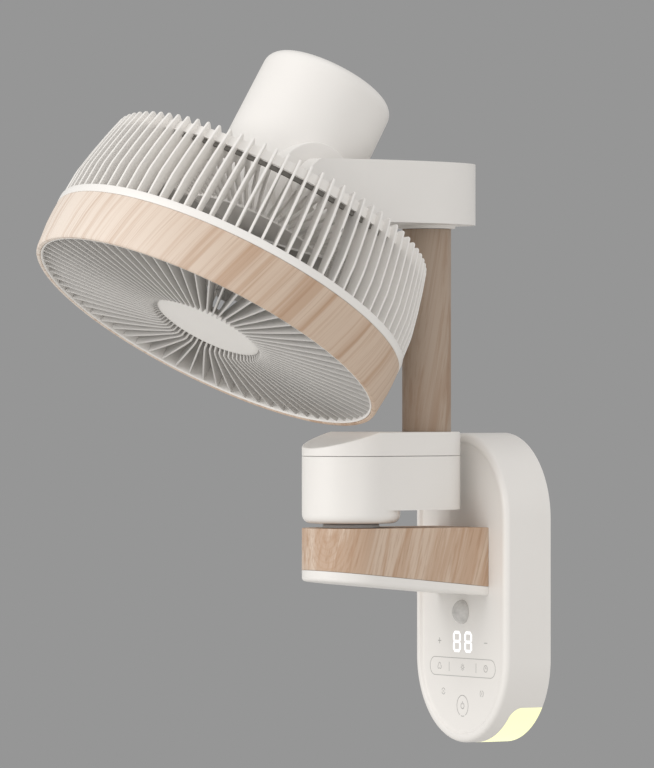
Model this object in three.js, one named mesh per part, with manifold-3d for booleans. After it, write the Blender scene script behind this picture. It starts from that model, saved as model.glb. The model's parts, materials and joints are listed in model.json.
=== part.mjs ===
// Wall mounted fan: a wall unit with a folding arm, a swivelling column and a tilting fan head.
// Millimetres, +Z up. The wall is the plane Y = 0 and the fan stands out towards -Y.
import * as THREE from 'three';
import * as BufferGeometryUtils from 'three/addons/utils/BufferGeometryUtils.js';
import Module from 'manifold-3d';

const wasm = await Module();
wasm.setup();

// ---------- driving dimensions ----------
const gap = 0.3;               // clearance between pieces that fit together
const shellWall = 2.4;         // wall of the moulded shells

// wall unit
const unitWidth = 145;
const unitHeight = 263;
const unitDepth = 45.1;
const unitEdge = 4;            // chamfer round the front of the cover
const rimWidth = 8;            // raised rim round the sunken face
const faceSink = 1.2;
const unitFaceWall = 3;
const bracketThickness = 2;
const bracketInset = 12;       // how far the wall bracket lies inside the cover
const bracketWindow = 18;      // square window for the supply wires
const wallHoleDiameter = 5.5;
const wallHoleSpan = 190;      // between the upper and lower wall holes
const wallHoleSpread = 20;     // wall holes either side of the middle
const chassisThickness = 2.5;
const chassisStandoff = 8;     // bracket to chassis
const chassisInset = 8;        // chassis to the cover's wall
const chassisPostRadius = 5;
const chassisPostSpread = 42;  // chassis posts either side of the middle
const chassisPostHeight = 62;
const lensTall = 31;           // the night light fills this much of the lower side wall
const lensFrontMargin = 5;     // cover left in front of the lens
const lensWall = 2;
const domeDiameter = 20.4;
const domeRise = 7;
const domeOffset = 25.5;       // motion sensor above the middle of the display
const boardThickness = 1.6;
const boardStandoff = 4;       // chassis to the power board
const pegRadius = 3;
const supplyWidth = 76;
const supplyDrop = 69.5;       // top of the unit to the power board's lower edge
const supplyTall = 50;
const controlWidth = 92;
const controlRise = 33.5;      // bottom of the unit to the control board's lower edge
const controlTall = 64;
const boardMargin = 7;         // edge of a board to its pegs
const displayWidth = 40;
const displayTall = 24;
const grommetDiameter = 16;
const grommetBore = 8;
const grommetLip = 2.5;
const wireInset = 25.5;        // the cover's side to the middle of the window and the grommet

// lower arm
const armWidth = 82.8;
const armTop = 52;
const armRootBottom = 2.5;     // underside of the wood at the wall unit
const armSlope = 0.11;         // rise of the underside per millimetre towards the elbow
const capThickness = 6.5;
const skinWall = 2.2;
const beamHeight = 16;
const beamWidth = 44;
const beamWall = 4;
const beamFootWidth = 68;
const beamFootMargin = 14;     // how far the foot stands above and below the beam
const beamFootThickness = 6;
const armBoltRadius = 4;
const armBoltSpread = 28;
const armBoltRise = 16;

// elbow
const discRadius = 23.8;
const discThickness = 3;
const shaftRadius = 13;
const shaftBore = 9;
const bushWall = 2.5;
const collarWall = 6;
const collarThickness = 4;
const postWall = 4;            // wall of the post round the elbow bush
const postDrop = 20;           // lid seam to the top of that post

// elbow housing
const housingRadius = 41.4;
const columnEndRadius = 28.5;
const unitClearance = 4.9;     // wall unit's front to the round end at the column
const elbowSpan = 74.8;        // elbow axis to column axis
const housingBottom = 67;
const housingSkirt = 11;       // how far the round end hangs lower
const lidSeam = 112.3;
const housingTop = 132.7;
const facetInset = 3.8;        // the lid's sloping facet starts this far behind the elbow axis
const facetSlope = 0.3;
const columnReach = unitDepth + unitClearance + columnEndRadius;   // wall to column axis
const elbowReach = columnReach + elbowSpan;                        // wall to elbow axis

// column
const columnRadius = 20.7;
const sleeveWall = 3;
const tubeWall = 2;
const gearRadius = 22;
const gearRatio = 2;
const gearTeeth = 24;
const gearThickness = 6;
const toothDepth = 1.6;
const gearPhase = -0.3;        // turns, in degrees, that bring a pinion tooth into a gear gap
const pinionPhase = 14.4;
const swingMotorRadius = 11.5;
const swingMotorTall = 16;
const swingEarSpread = 19;     // screw posts either side of the swing motor
const pinionStem = 3;          // radius of the pinion's stem

// top arm
const topArmHeight = 53.2;
const topArmEndRadius = 40.5;
const headReach = 147.5;       // column axis to tilt axis
const headClearance = 5.16;    // lid to the lowest point of the head
const hubThickness = 20;       // thickness of the arm at the tilt hub
const armStraight = 30;        // flat length of the outer side behind the tilt axis
const armBossRise = 4;
const armBossWall = 4;
const frameThickness = 5;      // cast frame inside the top arm
const frameHalf = 14;          // half the width of the frame at the tilt hub
const tiltShaftRadius = 8;
const tiltShaftBore = 4;

// fan head, along its own axis: s counts from the tilt axis towards the front
const headTilt = 60;           // degrees down, as it stands
const motorRadius = 55.8;
const motorRear = 106.8;       // tilt axis to the rear end
const motorRearRound = 9;
const motorFront = 40;
const bossRadius = 38.2;
const bossProud = 4.2;         // the flat of the side boss past the housing
const neckRadius = 22;
const neckLength = 13;         // flat of the boss to the top arm
const sweepClearance = 2;      // free space round the turning motor housing
const ringRadius = 158.4;
const tipInset = 16.3;         // rear outer corners of the rear grille, in from the ring
const tipPlace = 8.3;
const ringBack = 88.5;
const woodBack = 95.9;
const woodFront = 137.8;
const woodTaper = 2.8;         // how much narrower the band is at its front
const woodBulge = 2;
const woodWall = 3;
const ringBand = 12;           // width of the plain ring
const liningWall = 2.4;
const rearFinCount = 84;
const finThickness = 1.8;
const finDepth = 8;
const centreBand = 9;          // centre ring round the motor housing
const finElbow = 102;          // radius at which a fin bends towards the centre
const frontVaneCount = 72;
const vaneThickness = 1.5;
const frontHubRadius = 44;
const frontHubPlace = 135;
const frontDish = 12;          // how far the vanes sink behind the rim
const vaneDepth = 8;
const vaneKink = 64;           // radius at which a vane rises to the hub disc
const rimBand = 5;

// fan and motor
const bladeCount = 5;
const bladeInset = 32.4;       // ring to the blade tips
const bladeThickness = 1.6;
const fanHubRadius = 34;
const fanHubBack = 60;
const fanHubLength = 34;
const fanShaftRadius = 4;
const canRadius = 36;
const canLength = 44;
const motorPlateThickness = 6;
const driverRadius = 44;
const driverStandoff = 14;     // motor can to the driver board
const nutRadius = 9;
const nutLength = 7;

const far = 500;               // reaches past every piece
const proud = 1;               // how far a cutting tool reaches past what it cuts

const segments = 28;
const ringSegments = 42;         // the big rings: each facet carries two fins
const curvePoints = 6;           // per curve of an outline

// ---------- materials ----------
const finish = (color, roughness, metalness = 0) =>
  new THREE.MeshStandardMaterial({ color, roughness, metalness });
const white = finish(0xf1eeea, 0.45);
const greyPlastic = finish(0x9a9a98, 0.5);
const wood = finish(0xdcc7b3, 0.55);
const steel = finish(0xb8bbc0, 0.35, 1);
const zinc = finish(0xc9ccd0, 0.45, 1);
const aluminium = finish(0xc4c6c9, 0.5, 1);
const glow = finish(0xffffcf, 0.4);
const dark = finish(0x2c2d2f, 0.6);
const board = finish(0x2f6b45, 0.6);
const copper = finish(0xb06a3a, 0.4, 1);
const clearGrey = finish(0xc9c8c4, 0.3);
const nylon = finish(0xe8e6de, 0.5);

// ---------- tools ----------
const solid = (geometry) => {
  const g = geometry.clone();
  g.deleteAttribute('normal');
  g.deleteAttribute('uv');
  const merged = BufferGeometryUtils.mergeVertices(g, 1e-4);
  const corners = merged.index.array;
  const triangles = [];
  for (let i = 0; i < corners.length; i += 3) {
    const [a, b, c] = corners.slice(i, i + 3);
    if (a !== b && b !== c && c !== a) triangles.push(a, b, c);
  }
  return new wasm.Manifold(new wasm.Mesh({
    numProp: 3,
    vertProperties: new Float32Array(merged.attributes.position.array),
    triVerts: new Uint32Array(triangles),
  }));
};
const surface = (manifold) => {
  const mesh = manifold.getMesh();
  const g = new THREE.BufferGeometry();
  g.setAttribute('position', new THREE.BufferAttribute(new Float32Array(mesh.vertProperties), 3));
  g.setIndex(new THREE.BufferAttribute(new Uint32Array(mesh.triVerts), 1));
  const flat = g.toNonIndexed();
  flat.computeVertexNormals();
  return flat;
};
const add = (...parts) => parts.reduce((a, b) => a.add(b));
const cut = (base, ...tools) => tools.reduce((a, b) => a.subtract(b), base);

const outline = (points) => new THREE.Shape(points.map(([x, y]) => new THREE.Vector2(x, y)));
const stadium = (width, height) => {
  const r = width / 2;
  const d = height / 2 - r;
  const shape = new THREE.Shape();
  shape.absarc(0, d, r, 0, Math.PI, false);
  shape.absarc(0, -d, r, Math.PI, 2 * Math.PI, false);
  return shape;
};
// the outline's points, without those that lie on the one before
const cleanOutline = (shape) => {
  const points = shape.getPoints(curvePoints);
  return new THREE.Shape(points.filter((p, i) => p.distanceTo(points.at(i - 1)) > 1e-3));
};
const extrude = (shape, depth, bevel = 0) => {
  const g = new THREE.ExtrudeGeometry(cleanOutline(shape), {
    depth: depth - 2 * bevel, bevelEnabled: bevel > 0,
    bevelThickness: bevel, bevelSize: bevel, bevelOffset: -bevel, bevelSegments: 2,
  });
  return g.translate(0, 0, bevel);
};
// a shape drawn in X and Z, standing from y = back to y = front (front is nearer -Y)
const towardsRoom = (shape, back, front, bevel = 0) =>
  solid(extrude(shape, back - front, bevel).rotateX(Math.PI / 2).translate(0, back, 0));
// a shape drawn in X and Y, standing from one height to another
const upright = (shape, low, high, bevel = 0) =>
  solid(extrude(shape, high - low, bevel).translate(0, 0, low));
// a shape drawn in Y and Z, reaching from one x to another
const across = (shape, low, high) =>
  solid(extrude(shape, high - low).rotateX(Math.PI / 2).rotateZ(Math.PI / 2).translate(low, 0, 0));
const block = (x0, x1, y0, y1, z0, z1) =>
  solid(new THREE.BoxGeometry(x1 - x0, y1 - y0, z1 - z0)
    .translate((x0 + x1) / 2, (y0 + y1) / 2, (z0 + z1) / 2));
// a turned piece about Z: points are [radius, place]
const turned = (points, count = segments) => {
  const g = new THREE.LatheGeometry(points.map(([r, z]) => new THREE.Vector2(r, z)), count);
  return solid(g.rotateX(Math.PI / 2));
};
const ring = (inner, outer, low, high, count = segments) =>
  turned([[inner, low], [outer, low], [outer, high], [inner, high], [inner, low]], count);
const rod = (radius, low, high, count = 20) =>
  turned([[0, low], [radius, low], [radius, high], [0, high]], count);
const rodTo = (axis, radius, low, high, count = 20) => {
  const r = rod(radius, low, high, count);
  return axis === 'x' ? r.rotate([0, 90, 0]) : r.rotate([90, 0, 0]);
};
// outline round two circles, the first at the elbow and the second at the column
const twoCircles = (y1, r1, y2, r2) => {
  const lean = Math.asin((r1 - r2) / (y2 - y1));
  const shape = new THREE.Shape();
  shape.absarc(0, y2, r2, lean, Math.PI - lean, false);
  shape.absarc(0, y1, r1, Math.PI - lean, 2 * Math.PI + lean, false);
  return shape;
};

// the four places at a spread and a rise either side of the middle
const fourCorners = (spread, rise) => [-1, 1].flatMap((sz) => [-1, 1].map((sx) => [sx * spread, sz * rise]));

const fan = new THREE.Group();
const piece = (parent, name, manifold, material) => {
  const mesh = new THREE.Mesh(surface(manifold), material);
  mesh.name = name;
  parent.add(mesh);
  return mesh;
};

// ---------- wall unit ----------
const faceY = -(unitDepth - faceSink);          // the sunken front face
const backOfFace = faceY + unitFaceWall;
const bracketFront = -bracketThickness;
const chassisBack = bracketFront - chassisStandoff;
const chassisFront = chassisBack - chassisThickness;
const coverShape = (inset) => stadium(unitWidth - 2 * inset, unitHeight - 2 * inset);
const lensFront = -(unitDepth - lensFrontMargin);
const lensTop = lensTall - unitHeight / 2;
const wireEntry = wireInset - unitWidth / 2;
const supplyBottom = unitHeight / 2 - supplyDrop;
const controlBottom = controlRise - unitHeight / 2;
const displayHeight = controlBottom + controlTall - displayTall / 2;
const domeHeight = displayHeight + domeOffset;
const armRoot = faceY - gap;
const elbowY = -elbowReach;
const undersideAt = (y) => armRootBottom + armSlope * (-y - unitDepth);
const beamLow = undersideAt(elbowY) + capThickness - 0.5;
const armSocket = { half: beamWidth / 2 + beamWall, low: 16, high: 46 };

function wallUnit() {
  const body = towardsRoom(coverShape(0), 0, -unitDepth, 0);
  const chamfer = towardsRoom(coverShape(0), unitDepth, -unitDepth, unitEdge);
  const hollow = towardsRoom(coverShape(shellWall), 1, backOfFace);
  const sunk = towardsRoom(coverShape(rimWidth), faceY, -unitDepth - 1);
  const lensSpace = cut(
    block(-unitWidth, unitWidth, lensFront - gap, 1, -unitHeight, lensTop + gap),
    towardsRoom(coverShape(shellWall), 2, lensFront - 1));
  const socket = block(-armSocket.half, armSocket.half, -unitDepth - 1, 0, armSocket.low, armSocket.high);
  const domeHole = rodTo('y', domeDiameter / 2 + gap, 0, unitDepth + 1).translate([0, 0, domeHeight]);
  piece(fan, 'front_cover', cut(body.intersect(chamfer), hollow, sunk, lensSpace, socket, domeHole), white);

  const holes = fourCorners(wallHoleSpread, wallHoleSpan / 2).map(([x, z]) =>
    rodTo('y', wallHoleDiameter / 2, -proud, bracketThickness + proud).translate([x, 0, z]));
  const half = bracketWindow / 2;
  const window = block(wireEntry - half, wireEntry + half, bracketFront - proud, proud, -half, half);
  const plate = towardsRoom(coverShape(bracketInset), 0, bracketFront);
  piece(fan, 'wall_bracket', cut(plate, window, ...holes), zinc);

  // the night light: a clear band that fills the lower side wall, with a tongue inside
  const band = cut(towardsRoom(coverShape(0), -gap, lensFront),
    towardsRoom(coverShape(shellWall - gap + lensWall), 1, lensFront - 1));
  const below = block(-unitWidth, unitWidth, lensFront, -gap, -unitHeight, lensTop);
  const outerStrip = cut(band.intersect(below), block(-unitWidth, unitWidth, -unitDepth, 0, 0, unitHeight));
  piece(fan, 'night_light_lens', outerStrip, glow);

  // steel chassis on four posts that are pressed from the bracket's plane
  const chassisShape = coverShape(shellWall + chassisInset);
  const grommetRadius = grommetDiameter / 2;
  const wireHole = rodTo('y', grommetRadius + gap, -proud, unitDepth).translate([wireEntry, 0, 0]);
  const posts = fourCorners(chassisPostSpread, chassisPostHeight).map(([x, z]) =>
    rodTo('y', chassisPostRadius, -bracketFront + gap, -chassisBack + 0.5).translate([x, 0, z]));
  const chassis = cut(add(towardsRoom(chassisShape, chassisBack, chassisFront), ...posts), wireHole);
  piece(fan, 'chassis_plate', chassis, zinc);
  const grommet = cut(
    add(rodTo('y', grommetRadius, -chassisBack - 3, -chassisFront + 3),
      rodTo('y', grommetRadius + grommetLip, -chassisFront + gap, -chassisFront + 3)),
    rodTo('y', grommetBore / 2, 0, unitDepth));
  piece(fan, 'wire_grommet', grommet.translate([wireEntry, 0, 0]), finish(0x33302e, 0.8));

  const front = chassisFront - gap;
  const supplyBack = front - boardStandoff;
  const supplyMiddle = supplyBottom + supplyTall / 2;
  const supply = block(-supplyWidth / 2, supplyWidth / 2, supplyBack - boardThickness, supplyBack,
    supplyBottom, supplyBottom + supplyTall);
  const pegs = fourCorners(supplyWidth / 2 - boardMargin, supplyTall / 2 - boardMargin).map(([x, z]) =>
    rodTo('y', pegRadius, -front, -supplyBack + 0.5, 16).translate([x, 0, supplyMiddle + z]));
  piece(fan, 'power_board', add(supply, ...pegs), board);
  const componentTop = -(supplyBack - boardThickness) + gap;
  piece(fan, 'supply_transformer', block(-26, 2, -componentTop - 14, -componentTop,
    supplyBottom + 14, supplyBottom + 42), copper);
  const capacitor = rodTo('y', 7, componentTop, componentTop + 13, 16).translate([20, 0, supplyBottom + 26]);
  piece(fan, 'supply_capacitor', capacitor, dark);

  const controlBack = backOfFace + 6;
  const controlMiddle = controlBottom + controlTall / 2;
  const control = block(-controlWidth / 2, controlWidth / 2, controlBack, controlBack + boardThickness,
    controlBottom, controlBottom + controlTall);
  const legs = fourCorners(controlWidth / 2 - boardMargin, controlTall / 2 - boardMargin).map(([x, z]) =>
    block(x - pegRadius, x + pegRadius, controlBack, front,
      controlMiddle + z - pegRadius, controlMiddle + z + pegRadius));
  piece(fan, 'control_board', add(control, ...legs), board);
  piece(fan, 'number_display', block(-displayWidth / 2, displayWidth / 2, backOfFace + gap, controlBack - gap,
    displayHeight - displayTall / 2, displayHeight + displayTall / 2), dark);
  const foilFront = backOfFace + gap;
  piece(fan, 'touch_key_foil', block(-42, 42, foilFront, foilFront + 1.2,
    controlBottom + 1, controlBottom + 36), greyPlastic);

  // motion sensor under its frosted dome
  const domeR = domeDiameter / 2;
  const dome = [];
  for (let i = 0; i <= 4; i += 1) {
    const t = (i / 4) * Math.PI / 2;
    dome.push([domeR * Math.cos(t), domeRise * Math.sin(t)]);
  }
  const domeFoot = -unitFaceWall - 1;
  const domeInner = domeR - 1.5;
  const cap = turned([[0, domeFoot], [domeR, domeFoot], ...dome.slice(0, -1), [0, domeRise]], 16);
  const hollowDome = turned([[0, domeFoot - proud], [domeInner, domeFoot - proud], [domeInner, 0],
    [domeR * 0.6, domeRise * 0.55], [0, domeRise - 1.5]], 16);
  const flange = ring(domeInner, domeR + 2.5, domeFoot - 0.8, -unitFaceWall - gap, 16);
  const place = (m) => m.rotate([90, 0, 0]).translate([0, faceY, domeHeight]);
  piece(fan, 'motion_sensor_dome', place(cut(add(cap, flange), hollowDome)), clearGrey);
  const sensorFoot = chassisFront - gap;
  piece(fan, 'motion_sensor', add(
    rodTo('y', 4.6, -backOfFace - 0.5, -backOfFace + 3.5, 16).translate([0, 0, domeHeight]),
    rodTo('y', 6, -sensorFoot, -backOfFace, 16).translate([0, 0, domeHeight])), zinc);
  const lightBoard = cut(coverRibbon(9, 11.5),
    block(-unitWidth, unitWidth, -unitDepth, 0, lensTop + 2, unitHeight));
  piece(fan, 'night_light_board', lightBoard, white);
}
function coverRibbon(inner, outer) {
  return cut(towardsRoom(coverShape(inner), chassisFront - gap, chassisFront - gap - 14),
    towardsRoom(coverShape(outer), 0, -unitDepth));
}

// ---------- lower arm ----------
const armShape = (inset, root) => {
  const r = armWidth / 2 - inset;
  const shape = new THREE.Shape();
  shape.moveTo(r, root);
  shape.lineTo(-r, root);
  shape.absarc(0, elbowY, r, Math.PI, 2 * Math.PI, false);
  return shape;
};
// everything above (or below) the sloping underside of the arm
const slopeWedge = (lift, height) => across(outline([
  [0, undersideAt(0) + lift], [0, undersideAt(0) + lift + height],
  [-2 * elbowReach, undersideAt(-2 * elbowReach) + lift + height],
  [-2 * elbowReach, undersideAt(-2 * elbowReach) + lift]]), -armWidth, armWidth);
const shaftTop = lidSeam - 6;

function lowerArm() {
  const tall = 2 * armTop;
  const outer = upright(armShape(0, armRoot), -armTop, armTop);
  const inner = upright(armShape(skinWall, armRoot + 10), -armTop, armTop - skinWall);
  const discHole = rod(shaftRadius + gap, 0, armTop + 10).translate([0, elbowY, 0]);
  const skin = cut(outer, inner, discHole).intersect(slopeWedge(0, tall));
  piece(fan, 'lower_arm_skin', skin, wood);

  const plate = upright(armShape(0, armRoot), -armTop, armTop)
    .intersect(slopeWedge(-capThickness, capThickness - gap));
  const edge = cut(upright(armShape(skinWall + gap, armRoot), -armTop, armTop),
    upright(armShape(skinWall + gap + 2, armRoot - 2), -armTop, armTop))
    .intersect(slopeWedge(-capThickness / 2, capThickness / 2 + 4));
  piece(fan, 'lower_arm_cap', add(plate, edge), white);

  // cast beam: from a foot on the chassis to the boss that holds the elbow shaft
  const footY = chassisFront - gap;
  const beam = block(-beamWidth / 2, beamWidth / 2, elbowY, footY, beamLow, beamLow + beamHeight);
  const foot = block(-beamFootWidth / 2, beamFootWidth / 2, footY - beamFootThickness, footY,
    beamLow - beamFootMargin, beamLow + beamHeight + beamFootMargin);
  const boss = rod(shaftRadius + 8, beamLow, armTop - skinWall - gap).translate([0, elbowY, 0]);
  const seatLow = beamLow + beamWall;
  const shaftSeat = rod(shaftRadius + gap, seatLow, armTop).translate([0, elbowY, 0]);
  const wires = block(-10, 10, elbowY, footY + proud, seatLow, beamLow + beamHeight - beamWall);
  const bore = rod(shaftBore, beamLow - proud, seatLow + proud).translate([0, elbowY, 0]);
  piece(fan, 'arm_beam', cut(add(beam, foot, boss), shaftSeat, wires, bore), aluminium);
  [-1, 1].forEach((sx) => {
    [-1, 1].forEach((sz) => {
      const name = `arm_bolt_${sz > 0 ? 'upper' : 'lower'}_${sx > 0 ? 'right' : 'left'}`;
      const at = [sx * armBoltSpread, 0, beamLow + beamHeight / 2 + sz * armBoltRise];
      const head = -footY + beamFootThickness + gap;
      piece(fan, name, rodTo('y', armBoltRadius, head, head + 3.7, 6).translate(at), zinc);
    });
  });

  const shaft = ring(shaftBore, shaftRadius, seatLow + gap, shaftTop).translate([0, elbowY, 0]);
  piece(fan, 'elbow_shaft', shaft, steel);
  const disc = ring(shaftRadius + gap, discRadius, armTop + gap, armTop + gap + discThickness);
  piece(fan, 'elbow_disc', disc.translate([0, elbowY, 0]), greyPlastic);
}

// ---------- elbow housing ----------
const columnY = -columnReach;
const skirtBottom = housingBottom - housingSkirt;
const housingShape = (inset) =>
  twoCircles(elbowY, housingRadius - inset, columnY, columnEndRadius - inset);
const facetStart = elbowReach - facetInset;
const facet = across(outline([
  [-facetStart, housingTop], [0, housingTop], [0, 0], [-2 * elbowReach, 0],
  [-2 * elbowReach, housingTop - facetSlope * (2 * elbowReach - facetStart)]]), -far, far);
const facetInner = (drop) => facet.translate([0, 0, -drop]);
const pinionOffset = gearRadius + gearRadius / gearRatio;
const gearLow = housingBottom + shellWall + 6;
const gearTop = gearLow + gearThickness;
const tubeOuter = columnRadius - sleeveWall - gap / 2;

// a gear: each tooth is drawn as [share of the pitch, radius]
function toothedDisc(count, pitch, low, high) {
  const root = pitch - toothDepth / 2 - 0.35;
  const crest = pitch + toothDepth / 2 - 0.25;
  const tooth = [[0, root], [0.3, root], [0.42, crest], [0.62, crest], [0.74, root]];
  const step = (2 * Math.PI) / count;
  const points = [];
  for (let i = 0; i < count; i += 1) {
    tooth.forEach(([share, r]) => {
      const a = (i + share) * step;
      points.push([r * Math.cos(a), r * Math.sin(a)]);
    });
  }
  return upright(outline(points), low, high);
}

function elbowHousing(group) {
  const at = (m, y) => m.translate([0, y, 0]);
  const outer = add(upright(housingShape(0), housingBottom, lidSeam),
    at(rod(housingRadius, skirtBottom, lidSeam, segments), elbowY));
  const inner = add(upright(housingShape(shellWall), housingBottom + shellWall, lidSeam + 1),
    at(rod(housingRadius - shellWall, skirtBottom + shellWall, lidSeam, segments), elbowY));
  const bushSeat = shaftRadius + bushWall + gap;
  const postTop = lidSeam - postDrop;
  const post = at(rod(bushSeat + postWall, skirtBottom, postTop, segments), elbowY);
  const postHole = at(rod(bushSeat, skirtBottom - proud, lidSeam, segments), elbowY);
  const floorHole = at(rod(columnRadius - sleeveWall - 5, housingBottom - proud, housingBottom + 6), columnY);
  piece(group, 'elbow_housing', cut(add(cut(outer, inner), post), postHole, floorHole), white);

  const lidOuter = upright(housingShape(0), lidSeam + gap, housingTop).intersect(facet);
  const lidInner = upright(housingShape(shellWall), lidSeam - proud, housingTop)
    .intersect(facetInner(shellWall));
  const rim = cut(add(upright(housingShape(shellWall + gap), lidSeam - 3, lidSeam + 1),
    upright(housingShape(shellWall / 2), lidSeam + gap, lidSeam + 4)),
  upright(housingShape(2 * shellWall), lidSeam - 4, lidSeam + 5));
  const columnHole = at(rod(columnRadius + gap, lidSeam - 5, housingTop + 1, segments), columnY);
  piece(group, 'elbow_lid', cut(add(cut(lidOuter, lidInner), rim), columnHole), white);

  const bush = ring(shaftRadius + gap / 2, shaftRadius + bushWall, skirtBottom + gap, postTop);
  piece(group, 'elbow_bush', at(bush, elbowY), nylon);
  const collarLow = postTop + gap;
  const collarHigh = collarLow + collarThickness;
  const collar = cut(rod(shaftRadius + collarWall, collarLow, collarHigh, 6),
    rod(shaftRadius + gap, collarLow - proud, collarHigh + proud, segments));
  piece(group, 'elbow_collar', at(collar, elbowY), zinc);

  // geared swing motor between the elbow and the column, with its pinion in mesh with the column gear
  const motorY = columnY - pinionOffset;
  const motorLow = gearTop + gap;
  const can = rod(swingMotorRadius, motorLow, motorLow + swingMotorTall, 16);
  const earReach = swingEarSpread + pegRadius;
  const ear = block(-earReach, earReach, -5, 5, motorLow, motorLow + 2);
  const earPosts = [-1, 1].map((sx) =>
    rod(pegRadius, housingBottom + shellWall + gap, motorLow + 1, 16).translate([sx * swingEarSpread, 0, 0]));
  const stemHole = rod(pinionStem + gap, motorLow - proud, motorLow + 6, 16);
  piece(group, 'swing_motor', at(cut(add(can, ear, ...earPosts), stemHole), motorY), zinc);

  // bush round the foot of the column, held by an arm to each side wall
  const tubeSeat = columnRadius - sleeveWall;
  const bushLow = gearTop + 2;
  const bushRing = at(ring(tubeSeat + gap, tubeSeat + 3, bushLow, bushLow + 6), columnY);
  const insideWall = upright(housingShape(shellWall + gap), 0, far);
  const bushArms = [-1, 1].map((sx) => block(...[sx * (tubeSeat + 1), sx * 26].sort((a, b) => a - b),
    columnY - 3, columnY + 3, bushLow + 1, bushLow + 5).intersect(insideWall));
  piece(group, 'column_bush', add(bushRing, ...bushArms), nylon);
}
function swingPinion(group) {
  const teeth = toothedDisc(gearTeeth / gearRatio, gearRadius / gearRatio, gearLow + 0.5, gearTop - 0.5);
  const stem = rod(pinionStem, gearLow - 2, gearTop + 4, 16);
  const pinion = add(teeth, stem).rotate([0, 0, pinionPhase]).translate([0, columnY - pinionOffset, 0]);
  piece(group, 'swing_pinion', pinion, nylon);
}

// ---------- column and top arm ----------
const motorFlat = motorRadius + bossProud;      // head axis to the flat of the side boss
const hubInner = motorFlat + neckLength;        // inner side of the arm at the tilt hub
const hubOuter = hubInner + hubThickness;
const woodFrontRadius = ringRadius - woodTaper;
const tiltAngle = THREE.MathUtils.degToRad(headTilt);
const tiltZ = housingTop + headClearance
  + woodFront * Math.sin(tiltAngle) + woodFrontRadius * Math.cos(tiltAngle);
const tiltY = columnY - headReach;
const topArmBottom = tiltZ - topArmHeight / 2;
const topArmTop = topArmBottom + topArmHeight;
const endRound = topArmHeight / 2;
const sweepRadius = Math.hypot(motorRear - motorRearRound, motorRadius - motorRearRound)
  + motorRearRound + sweepClearance;
const carveY = tiltY + sweepRadius;

// plan of the top arm: round about the column, straight past the motor housing to the tilt hub
const topArmShape = (inset) => {
  const r = topArmEndRadius - inset;
  const outerX = hubOuter - inset;
  const innerX = hubInner + inset;
  const shape = new THREE.Shape();
  shape.moveTo(innerX, tiltY - endRound + inset);
  shape.lineTo(outerX, tiltY - endRound + inset);
  shape.lineTo(outerX, tiltY + armStraight);
  shape.bezierCurveTo(outerX - 9, tiltY + headReach / 2 + armStraight,
    topArmEndRadius + 10 - inset, columnY + r, 0, columnY + r);
  shape.absarc(0, columnY, r, Math.PI / 2, Math.PI, false);
  shape.lineTo(-r, columnY - 12);
  shape.quadraticCurveTo(-r + 2, carveY + inset, -r + 18, carveY + inset);
  shape.lineTo(motorFlat - 20, carveY + inset);
  shape.quadraticCurveTo(motorFlat - 2 + inset, carveY + inset, motorFlat + 3 + inset, carveY - 26);
  shape.lineTo(innerX, tiltY + bossRadius + 6);
  return shape;
};
const sideShape = (inset) => {
  const shape = new THREE.Shape();
  shape.moveTo(0, tiltZ - endRound + inset);
  shape.lineTo(0, tiltZ + endRound - inset);
  shape.absarc(tiltY, tiltZ, endRound - inset, Math.PI / 2, 1.5 * Math.PI, false);
  return shape;
};
const sweep = (extra) => rodTo('x', sweepRadius + extra, -far, motorFlat + 0.7, 2 * segments)
  .translate([0, tiltY, tiltZ]);
const armFloor = topArmBottom + shellWall;
const insideArm = (inset) => across(sideShape(inset), -far, far);
const behindHub = (low, high) => block(-far, far, tiltY + endRound, far, low, high);

function column(group) {
  const at = (m) => m.translate([0, columnY, 0]);
  const sleeve = ring(columnRadius - sleeveWall + gap / 2, columnRadius,
    housingTop - 14 + gap, topArmBottom - armBossRise - gap);
  piece(group, 'column_sleeve', at(sleeve), wood);
  const tube = ring(tubeOuter - tubeWall, tubeOuter, gearLow, armFloor + 8);
  const flange = ring(tubeOuter - tubeWall, tubeOuter + 8, armFloor + gap, armFloor + 4);
  const gearSeat = rod(tubeOuter + 1, gearLow - proud, gearTop + gap, segments);
  piece(group, 'column_tube', at(cut(add(tube, flange), gearSeat)), steel);
  const gear = cut(toothedDisc(gearTeeth, gearRadius, gearLow, gearTop).rotate([0, 0, gearPhase]),
    rod(tubeOuter - tubeWall, gearLow - proud, gearTop + proud, segments));
  piece(group, 'column_gear', at(gear), nylon);
}

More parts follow.
